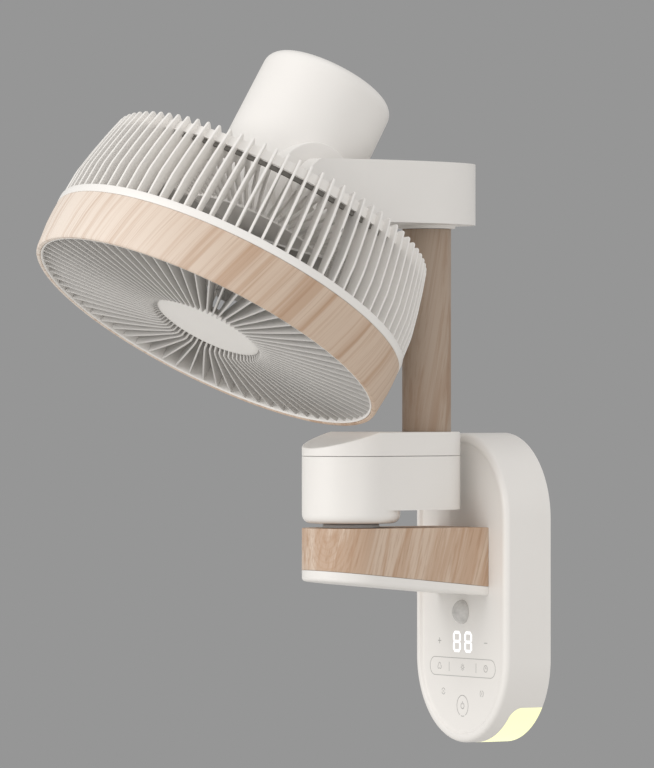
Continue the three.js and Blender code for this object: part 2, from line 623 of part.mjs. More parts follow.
function topArm(group) {
  const at = (m) => m.translate([0, columnY, 0]);
  const outer = upright(topArmShape(0), topArmBottom, topArmTop).intersect(insideArm(0));
  const openFoot = upright(topArmShape(shellWall), topArmBottom - proud, tiltZ)
    .intersect(block(-far, far, tiltY, far, 0, far));
  const inner = upright(topArmShape(shellWall), topArmBottom - proud, topArmTop - shellWall)
    .intersect(insideArm(shellWall).add(openFoot));
  const shaftHole = rodTo('x', tiltShaftRadius + gap, hubInner - 5, hubInner + shellWall + proud)
    .translate([0, tiltY, tiltZ]);
  const shell = cut(outer, sweep(0), cut(inner, sweep(shellWall)), shaftHole);
  const coverSeat = upright(topArmShape(shellWall - 0.01), topArmBottom - proud, armFloor + gap / 2)
    .intersect(behindHub(0, far));
  piece(group, 'top_arm_shell', cut(shell, coverSeat), white);

  const cover = upright(topArmShape(shellWall + gap), topArmBottom, armFloor)
    .intersect(behindHub(0, far).translate([0, gap, 0]));
  const boss = at(rod(columnRadius + armBossWall, topArmBottom - armBossRise, armFloor, segments));
  const through = at(rod(tubeOuter + gap, topArmBottom - 10, armFloor + 5, segments));
  piece(group, 'top_arm_cover', cut(add(cover, boss), sweep(shellWall + gap), through), white);

  // cast frame: bolted on the column flange, it reaches along the arm to carry the tilt shaft
  const frameLow = armFloor + 4 + gap;
  const inside = upright(topArmShape(shellWall + gap), frameLow - proud, frameLow + 9);
  const tubeHole = at(rod(tubeOuter + gap, 0, far, segments));
  const flangeRing = at(ring(tubeOuter + gap, topArmEndRadius - shellWall - 3, frameLow, frameLow + 8))
    .intersect(inside);
  const along = upright(topArmShape(shellWall + 3), frameLow, frameLow + frameThickness)
    .intersect(block(10, far, tiltY - frameHalf, columnY, 0, far));
  const upstandLow = hubInner + shellWall + gap;
  const upstand = block(upstandLow, upstandLow + frameThickness, tiltY - frameHalf, tiltY + frameHalf,
    frameLow, tiltZ + frameHalf);
  const frameHole = rodTo('x', tiltShaftRadius + gap, hubInner, hubOuter).translate([0, tiltY, tiltZ]);
  const roundEnd = insideArm(shellWall + gap).add(block(-far, far, tiltY, far, 0, far));
  const frame = add(flangeRing, cut(along, tubeHole), upstand).intersect(roundEnd);
  piece(group, 'top_arm_frame', cut(frame, sweep(shellWall + 1.5), frameHole), aluminium);
}

// ---------- fan head, in its own frame with +Z along the air flow ----------
const motorPlateBack = motorFront - motorPlateThickness;
const tipRadius = ringRadius - tipInset;

function motorHousing(group) {
  const steps = 3;
  const shoulder = motorRadius - motorRearRound;
  const round = [];
  for (let i = 0; i <= steps; i += 1) {
    const t = (i / steps) * (Math.PI / 2);
    round.push([shoulder + motorRearRound * Math.sin(t), motorRearRound * (1 - Math.cos(t)) - motorRear]);
  }
  const housing = turned([[0, -motorRear], ...round, [motorRadius, motorFront], [0, motorFront]]);
  const hollow = turned([[0, shellWall - motorRear], [shoulder, shellWall - motorRear],
    [motorRadius - shellWall, motorRearRound - motorRear], [motorRadius - shellWall, motorFront + proud],
    [0, motorFront + proud]]);
  const boss = rodTo('x', bossRadius, 0, motorFlat, segments);
  const neck = rodTo('x', neckRadius, 0, hubInner - gap, 16);
  const shaftSeat = rodTo('x', tiltShaftRadius + gap, motorRadius / 2, hubInner + proud);
  const seatBoss = rodTo('x', 2 * tiltShaftRadius, motorRadius - 14, hubInner);
  piece(group, 'motor_housing', cut(add(housing, boss, neck), cut(hollow, seatBoss), shaftSeat), white);

  const shaft = cut(rodTo('x', tiltShaftRadius, motorRadius - 13, hubOuter - shellWall - 2),
    rodTo('x', tiltShaftBore, 0, far, 16));
  piece(group, 'tilt_shaft', shaft, steel);
  const washerLow = hubInner + shellWall + gap + frameThickness + gap;
  const shaftSpace = rodTo('x', tiltShaftRadius + gap, 0, far);
  piece(group, 'tilt_friction_washer', cut(rodTo('x', 14, washerLow, washerLow + 1.5), shaftSpace), nylon);
  const nut = rodTo('x', 12.5, washerLow + 1.8, washerLow + 6, 6);
  piece(group, 'tilt_nut', cut(nut, shaftSpace), zinc);
}

// motor on its plate, with the driver board behind it
function motor(group) {
  const plate = rod(motorRadius - shellWall - gap, motorPlateBack, motorFront, segments);
  piece(group, 'motor_plate', cut(plate, rod(14, 0, motorFront + proud)), aluminium);
  const canFront = motorPlateBack - gap;
  const bearingSpace = rod(fanShaftRadius + 6, motorPlateBack - 8, motorPlateBack);
  const shaftSpace = rod(fanShaftRadius + gap, motorPlateBack - canLength + 8, motorPlateBack, 16);
  const can = cut(rod(canRadius, canFront - canLength, canFront, segments), bearingSpace, shaftSpace);
  piece(group, 'motor_can', can, steel);
  const driverBack = motorPlateBack - canLength - driverStandoff;
  const legRing = (canRadius + driverRadius) / 2;
  const legs = [0, 1, 2].map((i) => rod(2.5, driverBack, canFront, 12)
    .translate([legRing, 0, 0]).rotate([0, 0, 50 + 120 * i]));
  const driver = rod(driverRadius, driverBack, driverBack + boardThickness, 16);
  piece(group, 'motor_driver_board', add(driver, ...legs), board);
}

// copies of a flat blade, drawn as [radius, place], standing round the head's axis
const bladeRing = (points, thickness, count) => {
  const flat = extrude(outline(points), thickness).translate(0, 0, -thickness / 2);
  const blade = solid(flat.rotateX(Math.PI / 2));
  return Array.from({ length: count }, (_, i) => blade.rotate([0, 0, (360 / count) * (i + 0.5)]));
};

function grilles(group) {
  // rear grille: thin fins from the plain ring back to the pointed corners and in to the centre ring
  const centreOuter = motorRadius + centreBand;
  const rootPlace = motorFront + 1;
  const ringInner = ringRadius - ringBand;
  const fins = bladeRing([
    [ringRadius - 2.5, ringBack + 1], [tipRadius + 7, 42], [tipRadius, tipPlace], [finElbow, 31],
    [centreOuter - 2, rootPlace], [centreOuter - 2, rootPlace + 4], [finElbow, 38],
    [tipRadius - 11, 27], [ringRadius - finDepth - 2, ringBack + 1]], finThickness, rearFinCount);
  const plainRing = ring(ringInner, ringRadius, ringBack, woodBack - gap, ringSegments);
  const lining = ring(ringInner, ringInner + liningWall, woodBack - 1, woodBack + 8, ringSegments);
  const centre = ring(fanHubRadius - 2, centreOuter, motorFront + gap, motorFront + 6, ringSegments);
  piece(group, 'rear_grille', wasm.Manifold.union([plainRing, lining, centre, ...fins]), white);

  // wood look band between the plain ring and the front grille
  const middle = (ringRadius + woodFrontRadius) / 2;
  const band = turned([[ringRadius - woodWall, woodBack], [ringRadius + 0.2, woodBack],
    [middle + woodBulge, (woodBack + woodFront) / 2], [woodFrontRadius + 1, woodFront - 2],
    [woodFrontRadius, woodFront], [woodFrontRadius - woodWall, woodFront],
    [ringRadius - woodWall, woodBack]], ringSegments);
  piece(group, 'wood_band', band, wood);

  // front grille: rim, dished vanes and a plain hub disc
  const rimOuter = woodFrontRadius - woodWall - gap - 0.4;
  const rimBack = woodBack + 8 + gap;
  const facets = frontVaneCount / 2;
  const rim = ring(rimOuter - rimBand, rimOuter, rimBack, woodFront - 1.5, facets);
  const low = woodFront - 4 - frontDish;
  const hubBack = frontHubPlace - 2;
  const vanes = bladeRing([
    [rimOuter - 1, woodFront - 4], [vaneKink, low], [frontHubRadius - 3, hubBack - 1],
    [frontHubRadius - 3, hubBack - 3], [vaneKink - 2, low - vaneDepth],
    [rimOuter - 1, woodFront - 5 - vaneDepth]], vaneThickness, frontVaneCount);
  const hubRing = ring(frontHubRadius - 12, frontHubRadius, hubBack - 4, hubBack, facets);
  piece(group, 'front_grille', wasm.Manifold.union([rim, hubRing, ...vanes]), white);
  piece(group, 'front_hub_disc', turned([[0, hubBack + gap], [frontHubRadius, hubBack + gap],
    [frontHubRadius, frontHubPlace], [0, frontHubPlace + 1]]), white);
}

// ---------- rotor ----------
// one swept blade as a closed net of points: two sides, each of spans by chords
function bladeShape() {
  const spans = 3;
  const chords = 3;
  const bladeTip = ringRadius - bladeInset;
  const vertices = [];
  for (let side = 0; side < 2; side += 1) {
    for (let i = 0; i <= spans; i += 1) {
      const r = fanHubRadius - 3 + ((bladeTip - fanHubRadius + 3) * i) / spans;
      const half = (0.42 + 0.1 * Math.sin((Math.PI * i) / spans)) * (1 - 0.25 * (i / spans));
      const pitch = 14 - 5 * (i / spans);
      for (let j = 0; j <= chords; j += 1) {
        const u = (2 * j) / chords - 1;
        const a = half * u + 0.25 * (i / spans);
        const z = pitch * u - 3 * u * u + (side ? bladeThickness / 2 : -bladeThickness / 2);
        vertices.push(r * Math.cos(a), r * Math.sin(a), z);
      }
    }
  }
  const row = chords + 1;
  const count = (spans + 1) * row;
  const faces = [];
  const quad = (a, b, c, d) => faces.push(a, b, c, a, c, d);
  for (let i = 0; i < spans; i += 1) {
    for (let j = 0; j < chords; j += 1) {
      const p = i * row + j;
      quad(count + p, count + p + row, count + p + row + 1, count + p + 1);
      quad(p, p + 1, p + row + 1, p + row);
    }
    const e = i * row + chords;
    quad(i * row, i * row + row, count + i * row + row, count + i * row);
    quad(e, count + e, count + e + row, e + row);
  }
  for (let j = 0; j < chords; j += 1) {
    const p = spans * row + j;
    quad(j, count + j, count + j + 1, j + 1);
    quad(p, p + 1, count + p + 1, count + p);
  }
  const g = new THREE.BufferGeometry();
  g.setAttribute('position', new THREE.BufferAttribute(new Float32Array(vertices), 3));
  g.setIndex(faces);
  return solid(g);
}
function rotor(group) {
  const mid = fanHubBack + fanHubLength / 2;
  const front = fanHubBack + fanHubLength;
  const hub = turned([[0, front - 2], [fanHubRadius - 4, front - 2], [fanHubRadius - 4, fanHubBack],
    [fanHubRadius, fanHubBack], [fanHubRadius, front - 3], [fanHubRadius - 3, front], [0, front]], 28);
  const sleeve = rod(fanShaftRadius + 5, fanHubBack + 2, front - 1);
  const bore = rod(fanShaftRadius + gap, fanHubBack, front + proud);
  const blade = cut(bladeShape().translate([0, 0, mid]), rod(fanHubRadius - 2, 0, far, segments));
  const blades = Array.from({ length: bladeCount }, (_, i) => blade.rotate([0, 0, (360 / bladeCount) * i]));
  piece(group, 'impeller', cut(wasm.Manifold.union([hub, sleeve, ...blades]), bore), white);
  const shaftFront = front + nutLength + 1;
  piece(group, 'fan_shaft', rod(fanShaftRadius, motorPlateBack - canLength + 10, shaftFront, 16), steel);
  const nutFront = front + nutLength;
  const nutCap = turned([[0, nutFront - 1], [nutRadius - 1, nutFront - 1],
    [5, nutFront + 4], [0, nutFront + 5]], 16);
  const nut = cut(add(rod(nutRadius, front + gap, nutFront, 6), nutCap),
    rod(fanShaftRadius + gap, front - proud, shaftFront + gap, 16));
  piece(group, 'fan_nut', nut, dark);
}

wallUnit();
lowerArm();
const housingGroup = new THREE.Group();
elbowHousing(housingGroup);
swingPinion(housingGroup);
column(housingGroup);
topArm(housingGroup);
fan.add(housingGroup);
const headGroup = new THREE.Group();
headGroup.position.set(0, tiltY, tiltZ);
headGroup.rotation.x = Math.PI / 2 + tiltAngle;
motorHousing(headGroup);
motor(headGroup);
grilles(headGroup);
rotor(headGroup);
fan.add(headGroup);

export default fan;
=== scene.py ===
"""Wall mounted fan: the finished look of the fan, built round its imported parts.

The scene is in metres, with +Z up and the wall at Y = 0. Sizes in the code are in millimetres."""
import json
import math

import bmesh
import bpy
from bpy.props import FloatProperty, FloatVectorProperty, IntProperty, PointerProperty
from mathutils import Matrix, Vector


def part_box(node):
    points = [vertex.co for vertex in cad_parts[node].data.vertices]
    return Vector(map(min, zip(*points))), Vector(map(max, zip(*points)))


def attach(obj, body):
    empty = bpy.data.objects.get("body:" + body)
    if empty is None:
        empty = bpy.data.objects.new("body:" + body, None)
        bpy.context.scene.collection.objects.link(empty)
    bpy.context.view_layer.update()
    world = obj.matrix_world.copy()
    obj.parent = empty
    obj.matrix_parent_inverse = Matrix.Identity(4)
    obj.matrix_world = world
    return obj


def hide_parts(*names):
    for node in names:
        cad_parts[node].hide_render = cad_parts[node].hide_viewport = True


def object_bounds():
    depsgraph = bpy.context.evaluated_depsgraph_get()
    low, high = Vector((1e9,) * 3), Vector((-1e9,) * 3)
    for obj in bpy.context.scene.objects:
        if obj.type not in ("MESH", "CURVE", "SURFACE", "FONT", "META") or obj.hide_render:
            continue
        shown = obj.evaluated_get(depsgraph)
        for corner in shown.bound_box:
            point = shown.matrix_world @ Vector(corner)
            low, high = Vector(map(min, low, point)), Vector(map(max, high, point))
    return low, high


bl_info = {
    "name": "Wall Fan",
    "version": (1, 0, 0),
    "blender": (4, 5, 0),
    "location": "View3D > Sidebar > Wall Fan",
    "description": "Builds a wall mounted fan with a folding arm and a tilting head",
    "category": "Object",
}

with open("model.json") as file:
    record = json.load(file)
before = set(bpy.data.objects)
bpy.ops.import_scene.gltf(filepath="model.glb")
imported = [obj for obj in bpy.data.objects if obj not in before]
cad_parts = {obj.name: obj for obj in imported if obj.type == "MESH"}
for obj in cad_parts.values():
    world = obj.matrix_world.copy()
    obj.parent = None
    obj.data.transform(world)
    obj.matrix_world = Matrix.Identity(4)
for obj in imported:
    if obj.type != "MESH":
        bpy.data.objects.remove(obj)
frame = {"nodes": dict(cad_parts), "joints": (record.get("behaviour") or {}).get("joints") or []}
cad_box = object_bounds()
MM = 0.001
JOINTS = {joint["name"]: joint for joint in frame["joints"]}


# ---------- places and sizes that come from the frame, in millimetres ----------
def low(node):
    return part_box(node)[0] / MM


def high(node):
    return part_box(node)[1] / MM


def joint_place(name):
    return Vector(JOINTS[name]["pos_m"])


TILT = joint_place("head_tilt")
AIR = Vector(JOINTS["fan_spin"]["axis"]).normalized()
ELBOW_Y = joint_place("elbow_turn").y / MM
COLUMN_Y = joint_place("column_swivel").y / MM
UP = Matrix.Identity(4)
HEAD = Matrix((Vector((1, 0, 0)), AIR.cross(Vector((1, 0, 0))), AIR)).transposed().to_4x4()
HEAD.translation = TILT
SIDEWAYS = Matrix.Translation(TILT) @ Matrix.Rotation(math.radians(90), 4, "Y")
PANEL = Matrix.Rotation(math.radians(90), 4, "X")          # its +Z comes out of the panel's face
AT_ELBOW = Matrix.Translation((0, ELBOW_Y * MM, 0))
AT_COLUMN = Matrix.Translation((0, COLUMN_Y * MM, 0))


def hex_to_linear(text):
    """The colour of an sRGB hex string as linear light."""
    parts = [int(text[i:i + 2], 16) / 255 for i in (1, 3, 5)]
    return [c / 12.92 if c <= 0.04045 else ((c + 0.055) / 1.055) ** 2.4 for c in parts]


# ---------- settings ----------
def size(name, default, description):
    return FloatProperty(name=name, description=description, default=default * MM, unit="LENGTH")


def count(name, default, description):
    return IntProperty(name=name, description=description, default=default, min=3)


def gradient(name, default, description):
    return FloatProperty(name=name, description=description, default=default)


def colour(name, default, description):
    return FloatVectorProperty(name=name, description=description, default=hex_to_linear(default),
                               size=3, subtype="COLOR", min=0, max=1)


SINK = 2.6              # how far the wall unit's face lies behind its rim


class WallUnitSettings(bpy.types.PropertyGroup):
    edge: size("Edge", 4.6, "Rounding round the front of the cover")
    rim: size("Rim", 9.4, "Width of the raised rim round the face")
    sink: size("Sink", SINK, "How far the face lies behind the rim")
    wall: size("Wall", 2.4, "Wall of the moulded shells")
    lens_corner: size("Lens corner", 9, "Corner radius of the night light")
    lens_front: size("Lens front", 29.5, "Wall to the front edge of the night light")
    dome: size("Dome", 10.2, "Radius of the motion sensor's dome")
    line: size("Line", 0.55, "Width of the printed lines")


class ArmSettings(bpy.types.PropertyGroup):
    arm_slope: gradient("Arm slope", 0.099, "Rise of the arm's underside per metre")
    cap: size("Cap", 8.4, "Thickness of the white cap at the wall unit")
    cap_slope: gradient("Cap slope", 0.0895, "Rise of the cap's underside per metre")
    cap_round: size("Cap rounding", 3.2, "Rounding under the cap")
    housing_round: size("Housing rounding", 7.5, "Rounding under the round end of the elbow housing")
    facet_slope: gradient("Facet slope", 0.3, "Fall of the lid's sloping facet per metre")
    facet_start: size("Facet start", 149.5, "Distance from the wall to the start of the facet")
    top_edge: size("Top arm edge", 1.8, "Rounding along the edges of the top arm")
    arm_lower: size("Top arm height", 2.9, "How far the flat top of the arm lies under the hub's top")
    arm_drop: size("Top arm drop", 1.2, "How far the underside of the arm lies under the hub's underside")


class HeadSettings(bpy.types.PropertyGroup):
    rear_fins: count("Rear fins", 84, "Number of fins in the rear grille")
    front_vanes: count("Front vanes", 72, "Number of vanes in the front grille")
    fin: size("Fin", 2.1, "Thickness of a rear fin")
    vane: size("Vane", 1.5, "Thickness of a front vane")
    blades: count("Blades", 5, "Number of fan blades")
    rear_round: size("Rear rounding", 11.5, "Rounding round the back of the motor housing")
    motor_taper: size("Motor taper", 1.6, "How much narrower the motor housing is at its back")


class FinishSettings(bpy.types.PropertyGroup):
    white: colour("White", "#F1EEEA", "Moulded plastic")
    wood_light: colour("Light wood", "#F0E5DA", "Pale sapwood")
    wood_mid: colour("Middle wood", "#D3BDA9", "Middle tone of the wood")
    wood_streak: colour("Wood streak", "#B58F70", "Warm grain lines")
    glow: colour("Glow", "#FFFFC6", "Night light")
    print: colour("Print", "#B4B2AF", "Printed lines on the panel")
    backdrop: colour("Backdrop", "#969696", "Backdrop")


# ---------- materials ----------
FACTOR, COLOUR_A, COLOUR_B, BLEND = 0, 6, 7, 2          # sockets of a Mix node that mixes colours
IN_LOW, IN_HIGH, OUT_LOW, OUT_HIGH = 1, 2, 3, 4         # sockets of a Map Range node


def new_material(name):
    material = bpy.data.materials.new(name)
    material.use_nodes = True
    return material, material.node_tree.nodes["Principled BSDF"]


def add(tree, kind, inputs=None, output=0, **settings):
    """Adds a node with its settings; an input is a value, or another node's socket that is linked."""
    node = tree.nodes.new("ShaderNode" + kind)
    for key, value in settings.items():
        setattr(node, key, value)
    join(tree, node, inputs or {})
    return node.outputs[output]


def join(tree, node, inputs):
    for key, value in inputs.items():
        if isinstance(value, bpy.types.NodeSocket):
            tree.links.new(value, node.inputs[key])
        else:
            node.inputs[key].default_value = value


def tone(linear, factor=1.0):
    """A linear colour as a socket's four numbers, made lighter or darker."""
    return (*[min(1, c * factor) for c in linear[:3]], 1)


def cells(width_mm):
    """The scale at which a pattern's cells are this wide."""
    return 1 / (width_mm * MM)


def moulded(name, colour, roughness=0.42, grit_mm=0.5, depth_mm=0.01):
    """Injection moulded plastic: grit from the spark-eroded tool breaks the sheen, and faint clouding keeps
    broad walls from looking flat. Real grit is about 0.1 mm wide, and is drawn coarser so that it shows."""
    material, shader = new_material(name)
    tree = material.node_tree
    place = add(tree, "TexCoord", output="Object")
    cloud = add(tree, "TexNoise", {"Vector": place, "Scale": cells(250 / 3), "Detail": 3})
    grit = add(tree, "TexNoise", {"Vector": place, "Scale": cells(grit_mm), "Detail": 2})
    gloss = add(tree, "TexNoise", {"Vector": place, "Scale": cells(50 / 3), "Detail": 3})
    join(tree, shader, {
        "Base Color": add(tree, "Mix", {
            FACTOR: cloud, COLOUR_A: tone(colour, 0.97), COLOUR_B: tone(colour, 1.02),
        }, BLEND, data_type="RGBA"),
        "Roughness": add(tree, "MapRange", {
            "Value": gloss, OUT_LOW: roughness - 0.08, OUT_HIGH: roughness + 0.08}),
        "Normal": add(tree, "Bump", {"Height": grit, "Strength": 0.3, "Distance": depth_mm * MM}),
    })
    return material


def metal(name, colour, roughness, mark_mm=1.0, along=(1, 1, 1)):
    """Bare or plated metal: tool marks drawn out along one way, and uneven gloss from handling. Real marks
    are about 0.1 mm apart, and are drawn coarser so that they show."""
    material, shader = new_material(name)
    tree = material.node_tree
    place = add(tree, "TexCoord", output="Object")
    drawn = add(tree, "Mapping", {"Vector": place, "Scale": along})
    marks = add(tree, "TexNoise", {"Vector": drawn, "Scale": cells(mark_mm), "Detail": 3, "Roughness": 0.6})
    cloud = add(tree, "TexNoise", {"Vector": place, "Scale": cells(25), "Detail": 3})
    join(tree, shader, {
        "Base Color": add(tree, "Mix", {
            FACTOR: cloud, COLOUR_A: tone(colour, 0.85), COLOUR_B: tone(colour),
        }, BLEND, data_type="RGBA"),
        "Metallic": 1.0,
        "Roughness": add(tree, "MapRange", {
            "Value": marks, OUT_LOW: roughness - 0.15, OUT_HIGH: roughness + 0.15}),
        "Normal": add(tree, "Bump", {"Height": marks, "Strength": 0.2, "Distance": 0.02 * MM}),
    })
    return material


FILM_SHADE_TURN = -59         # turns the camera's left-to-right way, 59 degrees from +X, onto X: the film darkens along it, as heartwood tone and as painted shade away from the key lamp
ARCH_GAP = 3.4          # from one nested arch to the next


def wood_film(name, s, grain, heart_and_shade_span, strength=1.0, shadow=1.0, arch=None, laid="Object"):
    """Printed ash film under matt lacquer: fine straight pores and a few warm streaks, running from pale
    sapwood to darker heartwood, give the eye a real veneer with hardly a shine. The darkening runs from the
    camera's left to its right, so it also paints in the shade on the side away from the key lamp.

    grain is the way the fibres run. plank is where the sapwood ends and the heartwood starts on the camera's
    left-to-right way across the fan, in metres, and is also where the painted shade deepens. shadow darkens the
    whole film as painted shade. arch is the centre of the nested arches that a flat cut shows. laid names the
    coordinates that the film follows."""
    material, shader = new_material(name)
    tree = material.node_tree
    place = add(tree, "TexCoord", output="Object")
    to_upright = Vector(grain).normalized().rotation_difference(Vector((0, 0, 1))).to_euler()
    upright = add(tree, "Mapping", {"Vector": add(tree, "TexCoord", output=laid), "Rotation": to_upright})
    drawn = add(tree, "Mapping", {"Vector": upright, "Scale": (1, 1, 0.012)})
    slow = add(tree, "Mapping", {"Vector": upright, "Scale": (1, 1, 0.3)})
    sway = add(tree, "TexNoise", {"Vector": slow, "Scale": cells(500 / 7), "Detail": 1}, output=1)
    bent = add(tree, "VectorMath", {0: sway, 1: (6 * MM, 6 * MM, 0), 2: drawn}, operation="MULTIPLY_ADD")
    # real pores are about 0.3 mm wide, and are drawn about 0.9 mm wide so that they show
    pores, lines, streaks = (
        add(tree, "TexNoise", {"Vector": bent, "Scale": cells(width), "Detail": detail, "Roughness": 0.6})
        for width, detail in ((1.8, 3), (4.5, 4), (24, 3)))
    # painted shade: the film darkens along the camera's left-to-right way, away from the key lamp, together
    # with the sapwood-to-heartwood tone
    turned = add(tree, "Mapping", {"Vector": place, "Rotation": (0, 0, math.radians(FILM_SHADE_TURN))})
    way = add(tree, "SeparateXYZ", {"Vector": turned})
    heart_and_shade = add(tree, "MapRange", {"Value": way, IN_LOW: heart_and_shade_span[0], IN_HIGH: heart_and_shade_span[1]})
    often = add(tree, "Math", {0: heart_and_shade, 1: 0.12 * strength}, operation="MULTIPLY")
    warmth = add(tree, "Math", {0: streaks, 1: often}, operation="ADD")
    sap, middle, warm = (tone(c, shadow) for c in (s.wood_light, s.wood_mid, s.wood_streak))
    lined = add(tree, "MapRange", {"Value": lines, IN_LOW: 0.5, IN_HIGH: 0.64, OUT_HIGH: 0.34 * strength})
    streaked = add(tree, "MapRange", {"Value": warmth, IN_LOW: 0.66, IN_HIGH: 0.74, OUT_HIGH: 0.5})
    pored = add(tree, "MapRange", {"Value": pores, IN_LOW: 0.52, IN_HIGH: 0.7, OUT_HIGH: 0.3 * strength})
    inks = [(lined, warm), (streaked, warm)]
    if arch:
        offset = add(tree, "VectorMath", {0: place, 1: Vector(arch) * MM}, operation="SUBTRACT")
        oval = add(tree, "Mapping", {"Vector": offset, "Scale": (1, 1, 0.65)})
        reach = add(tree, "VectorMath", {0: oval}, 1, operation="LENGTH")
        turns = add(tree, "Math", {0: reach, 1: 2 * math.pi / (ARCH_GAP * MM)}, operation="MULTIPLY")
        ring = add(tree, "Math", {0: turns}, operation="SINE")
        crest = add(tree, "MapRange", {"Value": ring, IN_LOW: 0.2})
        near = add(tree, "MapRange", {
            "Value": reach, IN_LOW: 24 * MM, IN_HIGH: 34 * MM, OUT_LOW: 0.24, OUT_HIGH: 0})
        inks.append((add(tree, "Math", {0: crest, 1: near}, operation="MULTIPLY"), warm))
    inks.append((pored, tone(s.wood_streak, 0.85 * shadow)))
    film = add(tree, "Mix", {FACTOR: heart_and_shade, COLOUR_A: sap, COLOUR_B: middle}, BLEND, data_type="RGBA")
    for amount, ink in inks:
        film = add(tree, "Mix", {FACTOR: amount, COLOUR_A: film, COLOUR_B: ink}, BLEND, data_type="RGBA")
    join(tree, shader, {
        "Base Color": film,
        "Roughness": add(tree, "MapRange", {"Value": pores, OUT_LOW: 0.5, OUT_HIGH: 0.66}),
        "Normal": add(tree, "Bump", {"Height": pores, "Strength": 0.2, "Distance": 0.05 * MM}),
    })
    return material


def lit(name, colour, strength):
    """Moulded diffuser lit from behind: it glows evenly, with the faint mottle of the acrylic."""
    material, shader = new_material(name)
    tree = material.node_tree
    place = add(tree, "TexCoord", output="Object")
    mottle = add(tree, "TexNoise", {"Vector": place, "Scale": cells(40), "Detail": 2})
    surface, glow = (
        add(tree, "Mix", {FACTOR: mottle, COLOUR_A: tone(colour, faint), COLOUR_B: tone(colour, full)},
            BLEND, data_type="RGBA")
        for faint, full in ((0.2, 0.25), (0.95, 1.0)))
    join(tree, shader, {"Base Color": surface, "Emission Color": glow, "Emission Strength": strength,
                        "Roughness": 0.4})
    return material


def fresnel_cap(name, colour):
    """Moulded polyethylene sensor cap: small lens facets show as soft cells under a waxy sheen."""
    material, shader = new_material(name)
    tree = material.node_tree
    facets = add(tree, "TexVoronoi", {"Vector": add(tree, "TexCoord", output="Object"), "Scale": cells(3)})
    join(tree, shader, {
        "Base Color": add(tree, "Mix", {
            FACTOR: facets, COLOUR_A: tone(colour, 1.08), COLOUR_B: tone(colour, 0.9),
        }, BLEND, data_type="RGBA"),
        "Roughness": 0.27, "Coat Weight": 0.3, "IOR": 1.51,
        "Normal": add(tree, "Bump", {"Height": facets, "Strength": 0.15, "Distance": 0.2 * MM}),
    })
    return material


def solder_mask(name, colour):
    """Glass fibre board under green solder mask: the copper tracks under it show as paler lines."""
    material, shader = new_material(name)
    tree = material.node_tree
    place = add(tree, "TexCoord", output="Object")
    flat = add(tree, "Mapping", {"Vector": place, "Rotation": (math.pi / 2, 0, 0)})
    tracks = add(tree, "TexBrick", {"Vector": flat, "Scale": cells(50 / 3), "Color1": tone(colour),
                                    "Color2": tone(colour, 1.3), "Mortar": tone(colour, 1.9)})
    join(tree, shader, {"Base Color": tracks, "Roughness": 0.42})
    return material


def make_finishes(s):
    """One material for each finish of the fan."""
    return {
        # moulded covers: a broad satin sheen without a mirror image. The finned parts are a touch duller
        "white": moulded("satin_abs", s.white),
        "grille": moulded("grille_polypropylene", tone(s.white, 0.99), 0.46),
        # painted shade: the front vanes' white is darkened to paint in the shade that falls between them
        "vane": moulded("vane_polypropylene_painted_shade", tone(s.white, 0.74), 0.5),
        "blade": moulded("blade_abs", hex_to_linear("#C9C6C2"), 0.4),
        # wrapped film: the arm's is boldly figured, and the column's is darkened all over as painted shade from
        # the head above it
        "arm_wood": wood_film("arm_ash_film", s, (0.06, 0.26, 0.96), (-0.45, -0.12), 1.7,
                              arch=(23, -193, 50)),
        "column_wood": wood_film("column_ash_film", s, (0.05, 0.16, 0.98), (-0.9, -0.8), 0.9, shadow=0.68),
        "band_wood": wood_film("band_ash_film", s, (0.34, 1, 0), (-0.41, -0.21), 1.1, laid="UV"),
        # lit parts: even glow that hides the lamps behind it
        "lens": lit("night_light_acrylic", s.glow, 1.0),
        "digits": lit("digit_leds", (1.0, 1.0, 1.0), 1.15),
        # screen printed ink: matt, so that the lines stay grey from every side
        "print": moulded("screen_ink", s.print, 0.55),
        "grey": moulded("grey_abs", hex_to_linear("#D0D1D2"), 0.5),
        # painted shade: the air guide's plastic is drawn mid-grey for the shade it lies in behind the grille;
        # the fan nut takes the same grey
        "shroud": moulded("guide_abs_painted_shade", hex_to_linear("#A9A6A2"), 0.55),
        "dome": fresnel_cap("sensor_polyethylene", hex_to_linear("#CFCDCA")),
        # turned steel has long bright marks, zinc plate a cool even haze, die cast aluminium a dull grain
        "steel": metal("turned_steel", hex_to_linear("#C4C6C9"), 0.32, 0.8, (1, 1, 0.05)),
        "zinc": metal("zinc_plated_steel", hex_to_linear("#BFC4C8"), 0.42),
        "cast": metal("die_cast_aluminium", hex_to_linear("#B4B6B8"), 0.55, 1.5),
        "board": solder_mask("fibreglass_board", hex_to_linear("#1F5B38")),
        "dark": moulded("black_abs", hex_to_linear("#2A2B2D"), 0.5),
        # painted shade: the slots under the hoop and the guide's rolled lip are drawn darker and duller than
        # the plastic round them, for the shade in them
        "painted_shade": moulded("painted_shade_abs", hex_to_linear("#77746F"), 0.8),
        # wound copper wire under clear enamel: fine bright turns
        "copper": metal("enamelled_copper", hex_to_linear("#B7703C"), 0.35, 1.0, (1, 0.05, 1)),
        # uncoloured nylon is milky, and moulded nitrile rubber swallows the light
        "nylon": moulded("natural_nylon", hex_to_linear("#E2DFD6"), 0.5),
        "rubber": moulded("nitrile_rubber", hex_to_linear("#232221"), 0.75, 0.7, 0.03),
    }


